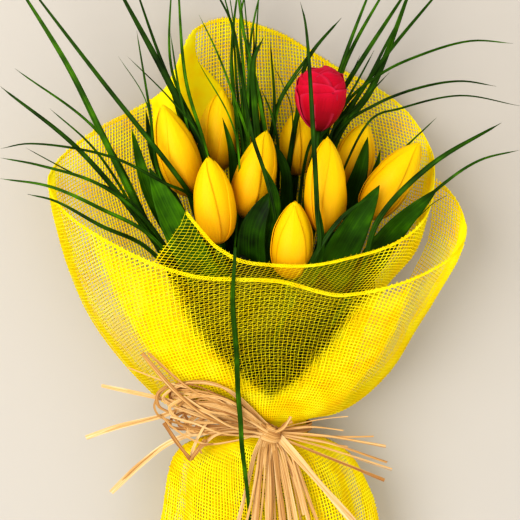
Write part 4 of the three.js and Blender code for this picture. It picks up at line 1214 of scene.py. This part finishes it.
# The overhand knot: each strand winds once and a half about a short axis across the bundle's slant, so that
# on top the strands run on down to the right.
knot = {"count": 10, "apart": 0.63, "radius": (8, 11), "width": (2.0, 3.4), "tones": (-2, 2),
        "axis": [0.5, 0.86, 0.0], "middle": [7, -141, 88], "length": 11, "girth": 80.0, "flat": 0.6}


def knotStrand(turn, radius, width, tone):
    t = np.linspace(0, 1, 40)
    angle = turn + 3 * math.pi * t
    axis = unit(np.array(knot["axis"]))
    side = unit(np.cross(up, axis))
    swell = radius * (0.6 + 0.4 * np.sin(np.pi * t))
    centre = seen([knot["middle"]])[0] + axis * (knot["length"] * (t - 0.5))[:, None]
    route = centre + side * (swell * np.cos(angle))[:, None]
    route = route + up * (knot["flat"] * swell * np.sin(angle))[:, None]
    facing = unit(route - centre)
    return sweep(route, strandSection, width / 2, bow["bound"], knot["girth"], facing=facing, tone=tone)


def bowStrands():
    patches = []
    for k in range(bow["turns"]):
        place = -bow["width"] / 2 + bow["width"] * k / (bow["turns"] - 1)
        patches.append(bandStrand(place, bow["radius"] + rng.uniform(0.1, 1.4), rng.uniform(-0.5, 0.5),
                                  rng.uniform(1.6, 3.0), rng.uniform(-3, 3)))
    laid = loops + strands
    lowest, step = bow["heap"]
    for index, (points, width) in enumerate(laid):
        tone = bow["cream"] if width > bow["wide"] else rng.uniform(*bow["tones"])
        width = width * (bow["broad"] if index == len(laid) - 1 else 1)
        patches.append(strandOver(points, width, lowest + step * index, tone))
        # a thin fibre split off beside it
        shift = rng.uniform(-1.5, 1.5, (len(points), 3)) * np.linspace(0.3, 1, len(points))[:, None]
        patches.append(strandOver(np.array(points) + shift, width * bow["split"], bow["fibre"],
                                  rng.uniform(*bow["tones"])))
    lowest, step = bowLoops["heap"]
    for k in range(bowLoops["count"]):
        form = [rng.uniform(*bowLoops[key]) for key in ("reach", "lean", "opening", "bend", "bulge")]
        points = loopPoints(*form)
        width = rng.uniform(*bowLoops["width"])
        patches.append(strandOver(points, width, lowest + step * k, rng.uniform(-3, 3)))
    lowest, step = bow["tailHeap"]
    for group in (bowTails, bowEnds):
        for k in range(group["count"]):
            aside = group["spread"] * (2 * k / (group["count"] - 1) - 1)
            low, high = group["lean"]
            slant = low + (high - low) * k / (group["count"] - 1) + rng.uniform(-3, 3)
            points = tailPoints(rng.uniform(*group["reach"]), slant, rng.uniform(-3, 3), -aside)
            width = rng.uniform(*group["width"])
            patches.append(strandOver(points, width, lowest + step * (k * 5 % 7), rng.uniform(*bow["tones"])))
    for points, width, tone in bowAccents:
        patches.append(strandOver(points, width, bow["clear"], tone, taper=0))
    for k in range(knot["count"]):
        form = [rng.uniform(*knot[key]) for key in ("radius", "width", "tones")]
        patches.append(knotStrand(knot["apart"] * k, *form))
    return patches


makePiece("raffia", bowStrands(), straw, ["raffia_bow"], smooth=False)
print("raffia is in place")
